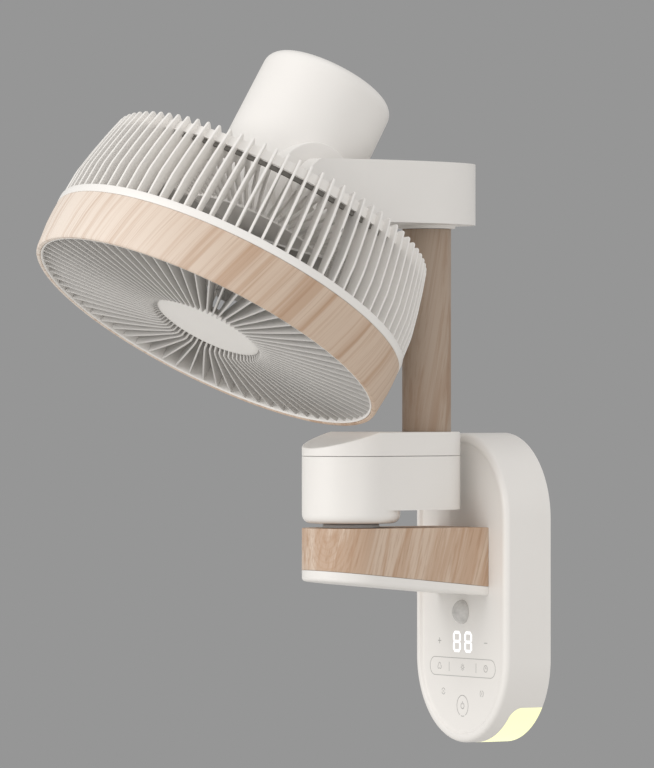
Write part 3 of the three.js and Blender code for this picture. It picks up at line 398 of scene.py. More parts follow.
FINISHES = {}
CAD_FINISH = {
    "wall_bracket": "zinc", "chassis_plate": "zinc", "wire_grommet": "rubber", "power_board": "board",
    "supply_transformer": "copper", "supply_capacitor": "dark", "control_board": "board",
    "number_display": "dark", "touch_key_foil": "grey", "motion_sensor": "zinc", "night_light_board": "board",
    "arm_beam": "cast", "arm_bolt_upper_right": "zinc", "arm_bolt_upper_left": "zinc",
    "arm_bolt_lower_right": "zinc", "arm_bolt_lower_left": "zinc", "elbow_shaft": "steel",
    "elbow_bush": "nylon", "elbow_collar": "zinc", "swing_motor": "zinc", "column_bush": "nylon",
    "swing_pinion": "nylon", "column_tube": "steel", "column_gear": "nylon", "top_arm_frame": "cast",
    "tilt_shaft": "steel", "tilt_friction_washer": "nylon", "tilt_nut": "zinc", "motor_plate": "cast",
    "motor_can": "steel", "motor_driver_board": "board", "fan_shaft": "steel", "fan_nut": "shroud",
}


# ---------- modelling tools ----------
def piece(name, bm, finish, body, replaces=(), crease=38, weighted=False):
    """Turns a bmesh into a finished piece that rides on a body."""
    bmesh.ops.remove_doubles(bm, verts=bm.verts, dist=1e-6)
    bmesh.ops.recalc_face_normals(bm, faces=bm.faces)
    limit = math.radians(crease)
    for edge in bm.edges:
        edge.smooth = len(edge.link_faces) == 2 and edge.calc_face_angle(0) < limit
    for face in bm.faces:
        face.smooth = True
    mesh = bpy.data.meshes.new(name)
    bm.to_mesh(mesh)
    bm.free()
    mesh.materials.append(FINISHES[finish])
    made = bpy.data.objects.new(name, mesh)
    bpy.context.scene.collection.objects.link(made)
    if weighted:
        modifier = made.modifiers.new("even_shading", "WEIGHTED_NORMAL")
        modifier.keep_sharp = True
    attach(made, body)
    if replaces:
        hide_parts(*replaces)
    return made


def fillet(points, radius, steps=5, closed=False):
    """The points of a profile with its inner corners rounded."""
    points = [Vector(p) for p in points]
    made = []
    for i, corner in enumerate(points):
        if not closed and i in (0, len(points) - 1):
            made.append(corner)
            continue
        before = points[i - 1] - corner
        after = points[(i + 1) % len(points)] - corner
        reach = min(radius, before.length * 0.45, after.length * 0.45)
        start = corner + before.normalized() * reach
        end = corner + after.normalized() * reach
        for step in range(steps + 1):
            t = step / steps
            made.append(start * (1 - t) ** 2 + corner * 2 * t * (1 - t) + end * t ** 2)
    return made


def box_profile(inner, outer, bottom, top):
    """The four corners of a plain ring's section."""
    return [(inner, bottom), (outer, bottom), (outer, top), (inner, top)]


def turn(bm, profile, place=UP, steps=96, closed=False):
    """Spins a profile of (radius, height) in millimetres about the place's Z axis."""
    verts = [bm.verts.new(place @ Vector((p[0] * MM, 0, p[1] * MM))) for p in profile]
    pairs = list(zip(verts, verts[1:]))
    if closed:
        pairs.append((verts[-1], verts[0]))
    edges = [bm.edges.new(pair) for pair in pairs]
    axis = place.to_3x3() @ Vector((0, 0, 1))
    bmesh.ops.spin(bm, geom=verts + edges, cent=place.translation, axis=axis,
                   angle=2 * math.pi, steps=steps, use_merge=True)
    bmesh.ops.remove_doubles(bm, verts=bm.verts, dist=1e-6)


def wrap_map(bm, place, radius):
    """Lays a UV map round the place's Z axis, in metres, with its seam on the side away from +X."""
    layer = bm.loops.layers.uv.new("wrap")
    back = place.inverted()
    for face in bm.faces:
        middle = back @ face.calc_center_median()
        centre = math.atan2(middle.y, middle.x)
        for loop in face.loops:
            at = back @ loop.vert.co
            angle = (math.atan2(at.y, at.x) - centre + math.pi) % (2 * math.pi) - math.pi + centre
            loop[layer].uv = (angle * radius * MM, at.z)


def slab(bm, outline, bottom, top, place=UP):
    """Extrudes a flat outline, in millimetres, from one height to another."""
    verts = [bm.verts.new(place @ Vector((p[0] * MM, p[1] * MM, bottom * MM))) for p in outline]
    face = bm.faces.new(verts)
    grown = bmesh.ops.extrude_face_region(bm, geom=[face])
    moved = [v for v in grown["geom"] if isinstance(v, bmesh.types.BMVert)]
    rise = place.to_3x3() @ Vector((0, 0, (top - bottom) * MM))
    bmesh.ops.translate(bm, verts=moved, vec=rise)
    bmesh.ops.recalc_face_normals(bm, faces=bm.faces)
    return moved


def prism(outline, bottom, top):
    """A flat outline as an upright solid."""
    bm = bmesh.new()
    slab(bm, outline, bottom, top)
    return bm


def spun(profile, place, steps=96, closed=False):
    """A profile as a solid of revolution."""
    bm = bmesh.new()
    turn(bm, profile, place, steps, closed)
    bmesh.ops.recalc_face_normals(bm, faces=bm.faces)
    return bm


def rod(radius, bottom, top, place, steps=48):
    """A plain round solid, to cut a bore with or to join on."""
    return spun([(0, bottom), (radius, bottom), (radius, top), (0, top)], place, steps)


def round_edges(bm, radius, test, segments=4, angle=35):
    """Bevels the sharp edges whose middle passes the test, in millimetres."""
    chosen = []
    for edge in bm.edges:
        middle = (edge.verts[0].co + edge.verts[1].co) / 2 / MM
        if len(edge.link_faces) == 2 and edge.calc_face_angle(0) > math.radians(angle) and test(middle):
            chosen.append(edge)
    bmesh.ops.bevel(bm, geom=chosen, offset=radius * MM, offset_type="OFFSET", segments=segments,
                    profile=0.5, affect="EDGES", clamp_overlap=True, material=-1)


def cut_plane(bm, point, normal, fill=True):
    """Cuts away what lies on the normal's side of a plane, in millimetres, and closes the cut."""
    geometry = bm.verts[:] + bm.edges[:] + bm.faces[:]
    made = bmesh.ops.bisect_plane(bm, geom=geometry, plane_co=Vector(point) * MM, plane_no=Vector(normal),
                                  clear_outer=True, dist=1e-7)
    edges = [e for e in made["geom_cut"] if isinstance(e, bmesh.types.BMEdge)]
    if fill and edges:
        bmesh.ops.contextual_create(bm, geom=edges)


def combine(base, tool, operation):
    """Joins, cuts or intersects two closed bmeshes."""
    objects = []
    for bm in (base, tool):
        mesh = bpy.data.meshes.new("part")
        bm.to_mesh(mesh)
        bm.free()
        made = bpy.data.objects.new("part", mesh)
        bpy.context.scene.collection.objects.link(made)
        objects.append(made)
    modifier = objects[0].modifiers.new("join", "BOOLEAN")
    modifier.operation = operation
    modifier.object = objects[1]
    modifier.solver = "EXACT"
    result = bmesh.new()
    result.from_object(objects[0], bpy.context.evaluated_depsgraph_get())
    for made in objects:
        mesh = made.data
        bpy.data.objects.remove(made)
        bpy.data.meshes.remove(mesh)
    bmesh.ops.dissolve_limit(result, angle_limit=0.001, verts=result.verts, edges=result.edges)
    return result


def arc(cx, cy, radius, start, end, steps=48):
    """Points along an arc, with its angles in degrees."""
    angles = [math.radians(start + (end - start) * i / steps) for i in range(steps + 1)]
    return [(cx + radius * math.cos(a), cy + radius * math.sin(a)) for a in angles]


def bezier(a, b, c, d, steps=24):
    """Points along a cubic curve, without its first."""
    a, b, c, d = (Vector(p) for p in (a, b, c, d))
    made = []
    for i in range(1, steps + 1):
        t = i / steps
        u = 1 - t
        made.append(tuple(a * u ** 3 + b * 3 * u * u * t + c * 3 * u * t * t + d * t ** 3))
    return made


# ---------- wall unit ----------
HALF_WIDTH = high("front_cover").x
HALF_HEIGHT = high("front_cover").z
UNIT_FRONT = low("front_cover").y


def stadium_loop(bm, inset, y, steps=128):
    """One stadium ring of the wall unit, drawn in from its outline, at one depth."""
    radius = HALF_WIDTH - inset
    place = Matrix.Translation((0, y * MM, 0)) @ PANEL @ Matrix.Rotation(math.pi / steps, 4, "Z")
    made = bmesh.ops.create_circle(bm, segments=steps, radius=radius * MM, matrix=place)
    straight = (HALF_HEIGHT - HALF_WIDTH) * MM
    for vert in made["verts"]:
        vert.co.z += straight if vert.co.z > 0 else -straight
    return list(dict.fromkeys(edge for vert in made["verts"] for edge in vert.link_edges))


def stadium_loft(bm, rings):
    """Bridges stadium rings of (inset, y) from the wall to the front."""
    loops = [stadium_loop(bm, inset, y) for inset, y in rings]
    for first, second in zip(loops, loops[1:]):
        bmesh.ops.bridge_loops(bm, edges=first + second)
    return loops


def solid_wall(made, thickness):
    """Gives an open shell its inner wall."""
    modifier = made.modifiers.new("wall", "SOLIDIFY")
    modifier.thickness = thickness * MM
    modifier.offset = -1
    modifier.use_even_offset = True


EDGE_STEPS = 6                                          # facets in the cover's rounded edge and in its rim
SOCKET_HALF, SOCKET_LOW, SOCKET_HIGH = 26, 16, 46       # opening in the face, under the root of the arm


class FAN_OT_cover(bpy.types.Operator):
    """Builds the wall unit's cover with its raised rim and sunken face"""
    bl_idname = "fan.cover"
    bl_label = "Cover"

    def execute(self, context):
        s = context.scene.fan_unit
        edge, rim, sink = s.edge / MM, s.rim / MM, s.sink / MM
        crest = edge + 0.35 * (rim - edge)
        rings = [(0, -0.3), (0, UNIT_FRONT + edge + 0.6), (0, UNIT_FRONT + edge)]
        for step in range(1, EDGE_STEPS + 1):
            a = math.radians(90 * step / EDGE_STEPS)
            rings.append((edge - edge * math.cos(a), UNIT_FRONT + edge - edge * math.sin(a)))
        rings.append((crest, UNIT_FRONT))
        for step in range(1, EDGE_STEPS + 1):
            t = step / EDGE_STEPS
            rings.append((crest + (rim - crest) * t, UNIT_FRONT + sink * (3 * t * t - 2 * t ** 3)))
        rings.append((rim + 0.8, UNIT_FRONT + sink))
        bm = bmesh.new()
        loops = stadium_loft(bm, rings)
        bmesh.ops.contextual_create(bm, geom=loops[-1])
        self.open_socket(bm, UNIT_FRONT + sink)
        made = piece("cover_shell", bm, "white", "wall_unit", ["front_cover"], crease=60)
        solid_wall(made, s.wall / MM)
        return {"FINISHED"}

    def open_socket(self, bm, face_y):
        """Divides the flat face along the socket's four sides and takes the middle out."""
        for point, normal in (((SOCKET_HALF, 0, 0), (1, 0, 0)), ((-SOCKET_HALF, 0, 0), (1, 0, 0)),
                              ((0, 0, SOCKET_LOW), (0, 0, 1)), ((0, 0, SOCKET_HIGH), (0, 0, 1))):
            panel = [f for f in bm.faces if abs(f.calc_center_median().y / MM - face_y) < 0.01]
            edges = dict.fromkeys(e for f in panel for e in f.edges)
            verts = dict.fromkeys(v for f in panel for v in f.verts)
            bmesh.ops.bisect_plane(bm, geom=[*panel, *edges, *verts], plane_co=Vector(point) * MM,
                                   plane_no=normal, dist=1e-7)
        middle = Vector((0, face_y, (SOCKET_LOW + SOCKET_HIGH) / 2)) * MM
        centre = min(bm.faces, key=lambda f: (f.calc_center_median() - middle).length)
        bmesh.ops.delete(bm, geom=[centre], context="FACES")


class FAN_OT_lens(bpy.types.Operator):
    """Builds the glowing night light round the bottom of the side wall"""
    bl_idname = "fan.lens"
    bl_label = "Night light"

    def execute(self, context):
        s = context.scene.fan_unit
        top = high("night_light_lens").z
        front = -s.lens_front / MM
        corner = s.lens_corner / MM
        proud, thickness = 0.12, 0.3
        bm = bmesh.new()
        stadium_loft(bm, [(-proud, y) for y in (-0.5, front * 0.25, front * 0.5, front * 0.75, front)])
        cut_plane(bm, (0, 0, top), (0, 0, 1), fill=False)
        middle = Vector((0, front + corner, top - corner))
        for degrees in range(8, 90, 12):
            a = math.radians(degrees)
            normal = Vector((0, -math.sin(a), math.cos(a)))
            cut_plane(bm, middle + normal * corner, normal, fill=False)
        made = piece("night_light", bm, "lens", "wall_unit", ["night_light_lens"])
        solid_wall(made, thickness)
        return {"FINISHED"}


FACE_Y = UNIT_FRONT + SINK
PRINT_ROOT, PRINT_TOP, DIGIT_TOP = -0.2, 0.1, 0.14      # heights over the panel's face
DIGITS_Z, DIGIT_PITCH, DIGIT_WIDTH, DIGIT_TALL = -46.0, 17.9, 9.6, 15.6
DIGIT_STROKE, DIGIT_GAP = 2.3, 0.7
KEY_X, PILL_Z, PILL_HALF, PILL_R, PILL_MARK_X = 36.7, -67.7, 44.2, 7.7, 21.4
LOWER_KEY_X, LOWER_KEY_Z = 30.5, -89
POWER_Z, POWER_R = -100.4, 8.9


def on_panel(x, z, turned=0):
    """A place on the panel's face: its +Z comes out of the face and +Y points up."""
    spot = Matrix.Translation((x * MM, FACE_Y * MM, z * MM))
    return spot @ PANEL @ Matrix.Rotation(math.radians(turned), 4, "Z")


def printed_bar(bm, x, z, length, width, turned=0, pointed=False):
    """A thin straight stroke on the panel. A digit's segment is pointed and stands a little prouder."""
    half, side = length / 2, width / 2
    points = [(-half, -side), (half, -side), (half, side), (-half, side)]
    if pointed:
        points = [(-half, 0), (-half + side, -side), (half - side, -side),
                  (half, 0), (half - side, side), (-half + side, side)]
    slab(bm, points, PRINT_ROOT, DIGIT_TOP if pointed else PRINT_TOP, on_panel(x, z, turned))


def printed_ring(bm, x, z, radius, width, start=0, end=360):
    """A thin ring on the panel, or the part of it between two angles."""
    inner, outer = radius - width / 2, radius + width / 2
    if end - start >= 360:
        turn(bm, box_profile(inner, outer, PRINT_ROOT, PRINT_TOP), on_panel(x, z), 40, closed=True)
        return
    steps = max(6, int(abs(end - start) / 8))
    outline = arc(0, 0, outer, start, end, steps) + arc(0, 0, inner, end, start, steps)
    slab(bm, outline, PRINT_ROOT, PRINT_TOP, on_panel(x, z))


class FAN_OT_panel(bpy.types.Operator):
    """Prints the keys on the panel and lights the two digits"""
    bl_idname = "fan.panel"
    bl_label = "Panel"

    def execute(self, context):
        bm = bmesh.new()
        self.digits(bm)
        piece("display_digits", bm, "digits", "wall_unit")
        bm = bmesh.new()
        self.keys(bm, context.scene.fan_unit.line / MM)
        piece("panel_print", bm, "print", "wall_unit")
        return {"FINISHED"}

    def digits(self, bm):
        for x in (-DIGIT_PITCH / 2, DIGIT_PITCH / 2):
            for rise in (-DIGIT_TALL / 2, 0, DIGIT_TALL / 2):
                printed_bar(bm, x, DIGITS_Z + rise, DIGIT_WIDTH - DIGIT_GAP, DIGIT_STROKE, 0, True)
            for side in (-1, 1):
                for half in (-1, 1):
                    printed_bar(bm, x + side * DIGIT_WIDTH / 2, DIGITS_Z + half * DIGIT_TALL / 4,
                                DIGIT_TALL / 2 - DIGIT_GAP, DIGIT_STROKE, 90, True)

    def keys(self, bm, line):
        bold = line * 1.2
        printed_bar(bm, -KEY_X, DIGITS_Z, 5, bold)
        printed_bar(bm, -KEY_X, DIGITS_Z, 5, bold, 90)
        printed_bar(bm, KEY_X, DIGITS_Z, 5, bold)
        for side in (-1, 1):
            printed_bar(bm, 0, PILL_Z + side * PILL_R, 2 * PILL_HALF, line)
        printed_ring(bm, PILL_HALF, PILL_Z, PILL_R, line, -90, 90)
        printed_ring(bm, -PILL_HALF, PILL_Z, PILL_R, line, 90, 270)
        for x in (-PILL_MARK_X, PILL_MARK_X):
            printed_bar(bm, x, PILL_Z, 8, line, 90)
        self.leaf_key(bm, -KEY_X, PILL_Z, line)
        self.sun_key(bm, 0, PILL_Z, line)
        self.timer_key(bm, KEY_X, PILL_Z, line)
        self.swing_key(bm, -LOWER_KEY_X, LOWER_KEY_Z, line)
        self.tilt_key(bm, LOWER_KEY_X, LOWER_KEY_Z, line)
        self.power_key(bm, 0, POWER_Z, line)

    def power_key(self, bm, x, z, line):
        printed_ring(bm, x, z, POWER_R, line * 1.2, -60, 240)
        printed_ring(bm, x, z, POWER_R, line * 1.2, 252, 288)
        printed_ring(bm, x, z, 2.5, line * 1.3, 120, 420)
        printed_bar(bm, x, z + 2.5, 2.6, line * 1.3, 90)

    def leaf_key(self, bm, x, z, line):
        for turned in (0, 120, 240):
            a = math.radians(turned + 90)
            printed_ring(bm, x + 1.5 * math.cos(a), z + 1.5 * math.sin(a), 1.5, line, turned, turned + 210)

    def sun_key(self, bm, x, z, line):
        printed_ring(bm, x, z, 1.4, line)
        for turned in range(0, 360, 45):
            a = math.radians(turned)
            printed_bar(bm, x + 2.7 * math.cos(a), z + 2.7 * math.sin(a), 0.9, line * 0.9, turned)

    def timer_key(self, bm, x, z, line):
        printed_ring(bm, x, z, 2.8, line)
        printed_bar(bm, x, z + 0.9, 1.8, line, 90)
        printed_bar(bm, x + 0.7, z, 1.4, line)

    def swing_key(self, bm, x, z, line):
        printed_ring(bm, x, z, 2.6, line, 20, 160)
        printed_ring(bm, x, z, 2.6, line, 200, 340)
        printed_bar(bm, x, z, 2.4, line)

    def tilt_key(self, bm, x, z, line):
        printed_ring(bm, x, z, 2.6, line, 110, 250)
        printed_ring(bm, x, z, 2.6, line, -70, 70)
        printed_bar(bm, x, z, 2.4, line, 90)


def dome_curve(radius, rise, angles):
    """Points on a dome's side view, at angles in degrees."""
    return [(radius * math.cos(math.radians(a)), rise * math.sin(math.radians(a))) for a in angles]


class FAN_OT_sensor(bpy.types.Operator):
    """Builds the motion sensor's frosted dome and its thin collar"""
    bl_idname = "fan.sensor"
    bl_label = "Motion sensor"

    def execute(self, context):
        radius = context.scene.fan_unit.dome / MM
        lowest, highest = low("motion_sensor_dome"), high("motion_sensor_dome")
        place = on_panel(0, (lowest.z + highest.z) / 2)
        rise = FACE_Y - lowest.y
        root, wall = -2.5, 1.4
        profile = [(radius, root), *dome_curve(radius, rise, range(0, 90, 6)), (0, rise), (0, rise - wall),
                   *dome_curve(radius - wall, rise - wall, range(84, -6, -12)), (radius - wall, root)]
        piece("sensor_dome", spun(profile, place, 64, closed=True), "dome", "wall_unit",
              ["motion_sensor_dome"])
        collar = [(radius + 0.1, -0.5), (radius + 0.9, -0.5), (radius + 0.9, 0.12), (radius + 0.1, 0.16)]
        piece("sensor_collar", spun(collar, place, 64, closed=True), "white", "wall_unit")
        return {"FINISHED"}


# ---------- lower arm and elbow ----------
ARM_HALF = high("lower_arm_skin").x
ARM_ROOT = FACE_Y - 0.1
ARM_TOP = high("lower_arm_skin").z
ARM_UNDER = low("lower_arm_skin").z


def arm_outline(inset):
    """Plan of the lower arm: square at the wall unit and round at the elbow."""
    r = ARM_HALF - inset
    return [(r, ARM_ROOT), (-r, ARM_ROOT)] + arc(0, ELBOW_Y, r, 180, 360, 96)


def under_arm(y, rise, drop):
    """Height of a level under the arm that rises away from the wall unit."""
    return ARM_UNDER + rise * (ARM_ROOT - y) - drop


SKIN = 2.2              # thickness of the arm's wood look skin
SHAFT_HOLE_R = 13.3


class FAN_OT_lower_arm(bpy.types.Operator):
    """Builds the wood faced lower arm, its white cap and the elbow's grey disc"""
    bl_idname = "fan.lower_arm"
    bl_label = "Lower arm"

    def execute(self, context):
        s = context.scene.fan_arm
        self.skin(s.arm_slope)
        self.cap(s.arm_slope, s.cap / MM, s.cap_slope, s.cap_round / MM)
        section = box_profile(SHAFT_HOLE_R, high("elbow_disc").x, low("elbow_disc").z, high("elbow_disc").z)
        piece("elbow_swivel_disc", spun(fillet(section, 0.5, 3), AT_ELBOW, closed=True), "grey", "wall_unit",
              ["elbow_disc"])
        return {"FINISHED"}

    def skin(self, slope):
        bm = prism(arm_outline(0), 0, ARM_TOP)
        for vert in bm.verts:
            if vert.co.z / MM < 1:
                vert.co.z = under_arm(vert.co.y / MM, slope, 0.3) * MM
        hole = rod(SHAFT_HOLE_R, 40, 60, AT_ELBOW)
        inside = prism([(x, min(y, ARM_ROOT - SKIN)) for x, y in arm_outline(SKIN)], -40, ARM_TOP - SKIN)
        bm = combine(bm, hole, "DIFFERENCE")
        bm = combine(bm, inside, "DIFFERENCE")
        round_edges(bm, 0.7, lambda p: p.z > ARM_TOP - 0.1 and math.hypot(p.x, p.y - ELBOW_Y) > 20, 3)
        piece("arm_veneer_skin", bm, "arm_wood", "wall_unit", ["lower_arm_skin"], weighted=True)

    def cap(self, slope, thickness, cap_slope, rounding):
        """The cap closes the skin from below: its top follows the arm, its underside has its own slope."""
        bm = prism(arm_outline(0), -10, 20)
        for vert in bm.verts:
            rise, drop = (slope, 0.6) if vert.co.z > 0 else (cap_slope, thickness)
            vert.co.z = under_arm(vert.co.y / MM, rise, drop) * MM

        def lower_edge(p):
            return p.z < under_arm(p.y, cap_slope, thickness) + 0.3 and p.y < ARM_ROOT - 1

        round_edges(bm, rounding, lower_edge, 6)
        piece("arm_cap", bm, "white", "wall_unit", ["lower_arm_cap"], weighted=True)


HOUSING_R = high("elbow_housing").x
COLUMN_END_R = high("elbow_housing").y - COLUMN_Y
SKIRT_Z = low("elbow_housing").z
SEAM_Z = high("elbow_housing").z
LID_TOP = high("elbow_lid").z
HOUSING_FLOOR, HOUSING_WALL, SEAM = 67, 2.4, 0.35
FLOOR_HOLE_R, LID_HOLE_R = 15.8, 21.2


def housing_outline(inset):
    """Plan of the elbow housing: a large round end, a smaller one at the column, straight between."""
    lean = math.degrees(math.asin((HOUSING_R - COLUMN_END_R) / (COLUMN_Y - ELBOW_Y)))
    return (arc(0, COLUMN_Y, COLUMN_END_R - inset, lean, 180 - lean, 72)
            + arc(0, ELBOW_Y, HOUSING_R - inset, 180 - lean, 360 + lean, 120))


class FAN_OT_elbow(bpy.types.Operator):
    """Builds the elbow housing and its lid with the sloping facet"""
    bl_idname = "fan.elbow"
    bl_label = "Elbow housing"

    def execute(self, context):
        s = context.scene.fan_arm
        self.housing(s.housing_round / MM)
        self.lid(s.facet_start / MM, s.facet_slope)
        return {"FINISHED"}

    def housing(self, rounding):
        """The round skirt over the disc hangs lower than the rest of the housing."""
        bm = prism(housing_outline(0), HOUSING_FLOOR, SEAM_Z)
        bm = combine(bm, rod(HOUSING_R - 0.02, SKIRT_Z, SEAM_Z - 3, AT_ELBOW, 120), "UNION")
        hollow = prism(housing_outline(HOUSING_WALL), HOUSING_FLOOR + HOUSING_WALL, SEAM_Z + 1)
        bm = combine(bm, hollow, "DIFFERENCE")
        bm = combine(bm, rod(FLOOR_HOLE_R, 50, 75, AT_ELBOW), "DIFFERENCE")
        round_edges(bm, rounding, lambda p: p.z < SKIRT_Z + 0.1 and math.hypot(p.x, p.y - ELBOW_Y) > 30, 6)
        round_edges(bm, 0.5, lambda p: p.z > SEAM_Z - 0.1, 2)
        piece("elbow_shell", bm, "white", "elbow", ["elbow_housing"], weighted=True)

    def lid(self, facet_start, facet_slope):
        bm = prism(housing_outline(0), SEAM_Z + SEAM, LID_TOP)
        cut_plane(bm, (0, -facet_start, LID_TOP), (0, -facet_slope, 1))
        bm = combine(bm, rod(LID_HOLE_R, 90, 140, AT_COLUMN, 96), "DIFFERENCE")
        round_edges(bm, 1.4, lambda p: p.z > SEAM_Z + 2 and math.hypot(p.x, p.y - COLUMN_Y) > 22, 4, 25)
        round_edges(bm, 0.4, lambda p: p.z < SEAM_Z + 0.5, 2)
        piece("elbow_lid_shell", bm, "white", "elbow", ["elbow_lid"], weighted=True)


# ---------- column and top arm ----------
ARM_Z = TILT.z / MM
TILT_Y = TILT.y / MM
HUB_OUT = high("top_arm_shell").x
HUB_IN = 73
END_ROUND = (high("top_arm_shell").z - low("top_arm_shell").z) / 2
TOP_END_R = high("top_arm_shell").y - COLUMN_Y
MOTOR_R, MOTOR_REAR, MOTOR_FRONT = 59.4, -106.8, 40     # the last two along the air flow from the tilt axis
CORNER, CLEARANCE = 9, 2
# radius that the motor housing's rear corner sweeps about the tilt axis, with room to pass
SWEEP_R = math.hypot(-MOTOR_REAR - CORNER, MOTOR_R - CORNER) + CORNER + CLEARANCE
BOSS_FACE = 62
ARM_WALL, BORE_R = 2.7, 8.6
SLEEVE_BORE_R, PLATE_BORE_R, COLLAR_BORE_R, COLLAR_R = 17.9, 18.1, 18.2, 24.4   # round the column's tube


def top_arm_outline(inset):
    """Plan of the top arm: round about the column, past the motor housing, to the tilt hub."""
    r = TOP_END_R - inset
    outer, inner = HUB_OUT - inset, HUB_IN + inset
    hub_front, hub_back = TILT_Y - END_ROUND + inset, TILT_Y + 44.2
    shoulder = TILT_Y + 30                              # the outer side bends to the column from here
    carve = TILT_Y + SWEEP_R                            # as near to the column as the motor housing comes
    straight_start, straight_end = -r + 18, BOSS_FACE - 20
    points = [(inner, hub_front), (outer, hub_front), (outer, shoulder)]
    points += bezier((outer, shoulder), (outer - 9, shoulder + 74), (TOP_END_R + 10 - inset, COLUMN_Y + r),
                     (0, COLUMN_Y + r), 40)
    points += arc(0, COLUMN_Y, r, 90, 180, 36)[1:]
    # the side towards the motor housing: out of the round end, straight across, then into the hub
    points += [(-r, COLUMN_Y - 12)]
    points += bezier((-r, COLUMN_Y - 12), (-r + 1, carve + inset + 6), (-r + 8, carve + inset),
                     (straight_start, carve + inset), 10)
    points += [(straight_end, carve + inset)]
    points += bezier((straight_end, carve + inset), (BOSS_FACE - 6, carve + inset),
                     (BOSS_FACE + 1 + inset, carve - 12), (BOSS_FACE + 3 + inset, carve - 26), 12)
    points += [(inner, hub_back)]
    return points


def side_profile(bottom):
    """Side view of the top arm: straight from the wall side to a round end about the tilt axis."""
    r = END_ROUND
    return [(0, bottom), (0, ARM_Z + r)] + arc(TILT_Y, ARM_Z, r, 90, 270, 64) + [(TILT_Y + r, bottom)]


def wall_side(y):
    """Side view of all that lies between a place and the wall."""
    return [(y, 0), (0, 0), (0, 500), (y, 500)]


def side_prism(outline):
    """A (Y, Z) outline as a solid that spans the whole width of the top arm."""
    place = Matrix(((0, 0, 1, 0), (1, 0, 0, 0), (0, 1, 0, 0), (0, 0, 0, 1)))
    bm = bmesh.new()
    slab(bm, outline, -100, 200, place)
    return bm


def sweep(room, face_room):
    """The space that the motor housing needs to tilt in."""
    return rod(SWEEP_R + room, -120, BOSS_FACE + face_room, SIDEWAYS, 160)


class FAN_OT_column(bpy.types.Operator):
    """Builds the wood look sleeve of the column"""
    bl_idname = "fan.column"
    bl_label = "Column"

    def execute(self, context):
        lowest, highest = low("column_sleeve"), high("column_sleeve")
        section = fillet(box_profile(SLEEVE_BORE_R, highest.x, lowest.z, highest.z), 0.5, 2)
        piece("column_veneer_sleeve", spun(section, AT_COLUMN, closed=True), "column_wood", "column",
              ["column_sleeve"])
        return {"FINISHED"}


class FAN_OT_top_arm(bpy.types.Operator):
    """Builds the side arm that carries the head, and the plate under it"""
    bl_idname = "fan.top_arm"
    bl_label = "Top arm"

    def execute(self, context):
        s = context.scene.fan_arm
        bottom = low("top_arm_shell").z - s.arm_drop / MM
        self.body(bottom, high("top_arm_shell").z - s.arm_lower / MM, s.top_edge / MM)
        self.plate(bottom)
        return {"FINISHED"}

    def body(self, bottom, top, rounding):
        bm = prism(top_arm_outline(0), bottom, top)
        bm = combine(bm, side_prism(side_profile(bottom)), "INTERSECT")
        bm = combine(bm, sweep(0, 0.7), "DIFFERENCE")
        seat = prism(top_arm_outline(ARM_WALL), bottom - 1, bottom + 2.6)
        seat = combine(seat, side_prism(wall_side(TILT_Y + END_ROUND)), "INTERSECT")
        bm = combine(bm, seat, "DIFFERENCE")
        bm = combine(bm, rod(BORE_R, HUB_IN - 5, HUB_IN + 12, SIDEWAYS), "DIFFERENCE")

        def outside(p):
            in_bore = math.hypot(p.y - TILT_Y, p.z - ARM_Z) <= 14
            in_seat = p.z < bottom + 3 and p.y > TILT_Y
            return not in_bore and not in_seat

        round_edges(bm, rounding, outside, 4, 50)
        piece("top_arm_body", bm, "white", "column", ["top_arm_shell"], weighted=True)

    def plate(self, bottom):
        """The plate lies in the arm's seat, and a collar round the column hangs from it."""
        bm = prism(top_arm_outline(3.0), bottom, bottom + 2.2)
        bm = combine(bm, side_prism(wall_side(TILT_Y + END_ROUND + 0.5)), "INTERSECT")
        bm = combine(bm, sweep(ARM_WALL, 3), "DIFFERENCE")
        bm = combine(bm, rod(PLATE_BORE_R, 290, 330, AT_COLUMN, 96), "DIFFERENCE")
        collar = fillet(box_profile(COLLAR_BORE_R, COLLAR_R, low("top_arm_cover").z, bottom + 2), 1, 3)
        bm = combine(bm, spun(collar, AT_COLUMN, closed=True), "UNION")
        piece("top_arm_plate", bm, "white", "column", ["top_arm_cover"], weighted=True)


# ---------- fan head: s runs along the air flow from the tilt axis ----------
MOTOR_WALL, TILT_HOLE_R, BOSS_ROOT = 2.4, 8.4, 30
BOSS_R, NECK_R = 38.2, 22
RING_R, RING_BACK, WOOD_BACK, WOOD_FRONT = 158.4, 88.5, 95.9, 137.8
RING_IN = RING_R - 12
WOOD_FRONT_R = 155.6
TIP_R, TIP_S = 142.1, 8.3           # the rear grille's shoulder, where the fins turn in towards the motor
HUB_R, HUB_S = 46.5, 135
ROUND_STEPS = 8                     # facets in the motor housing's rounded back edge


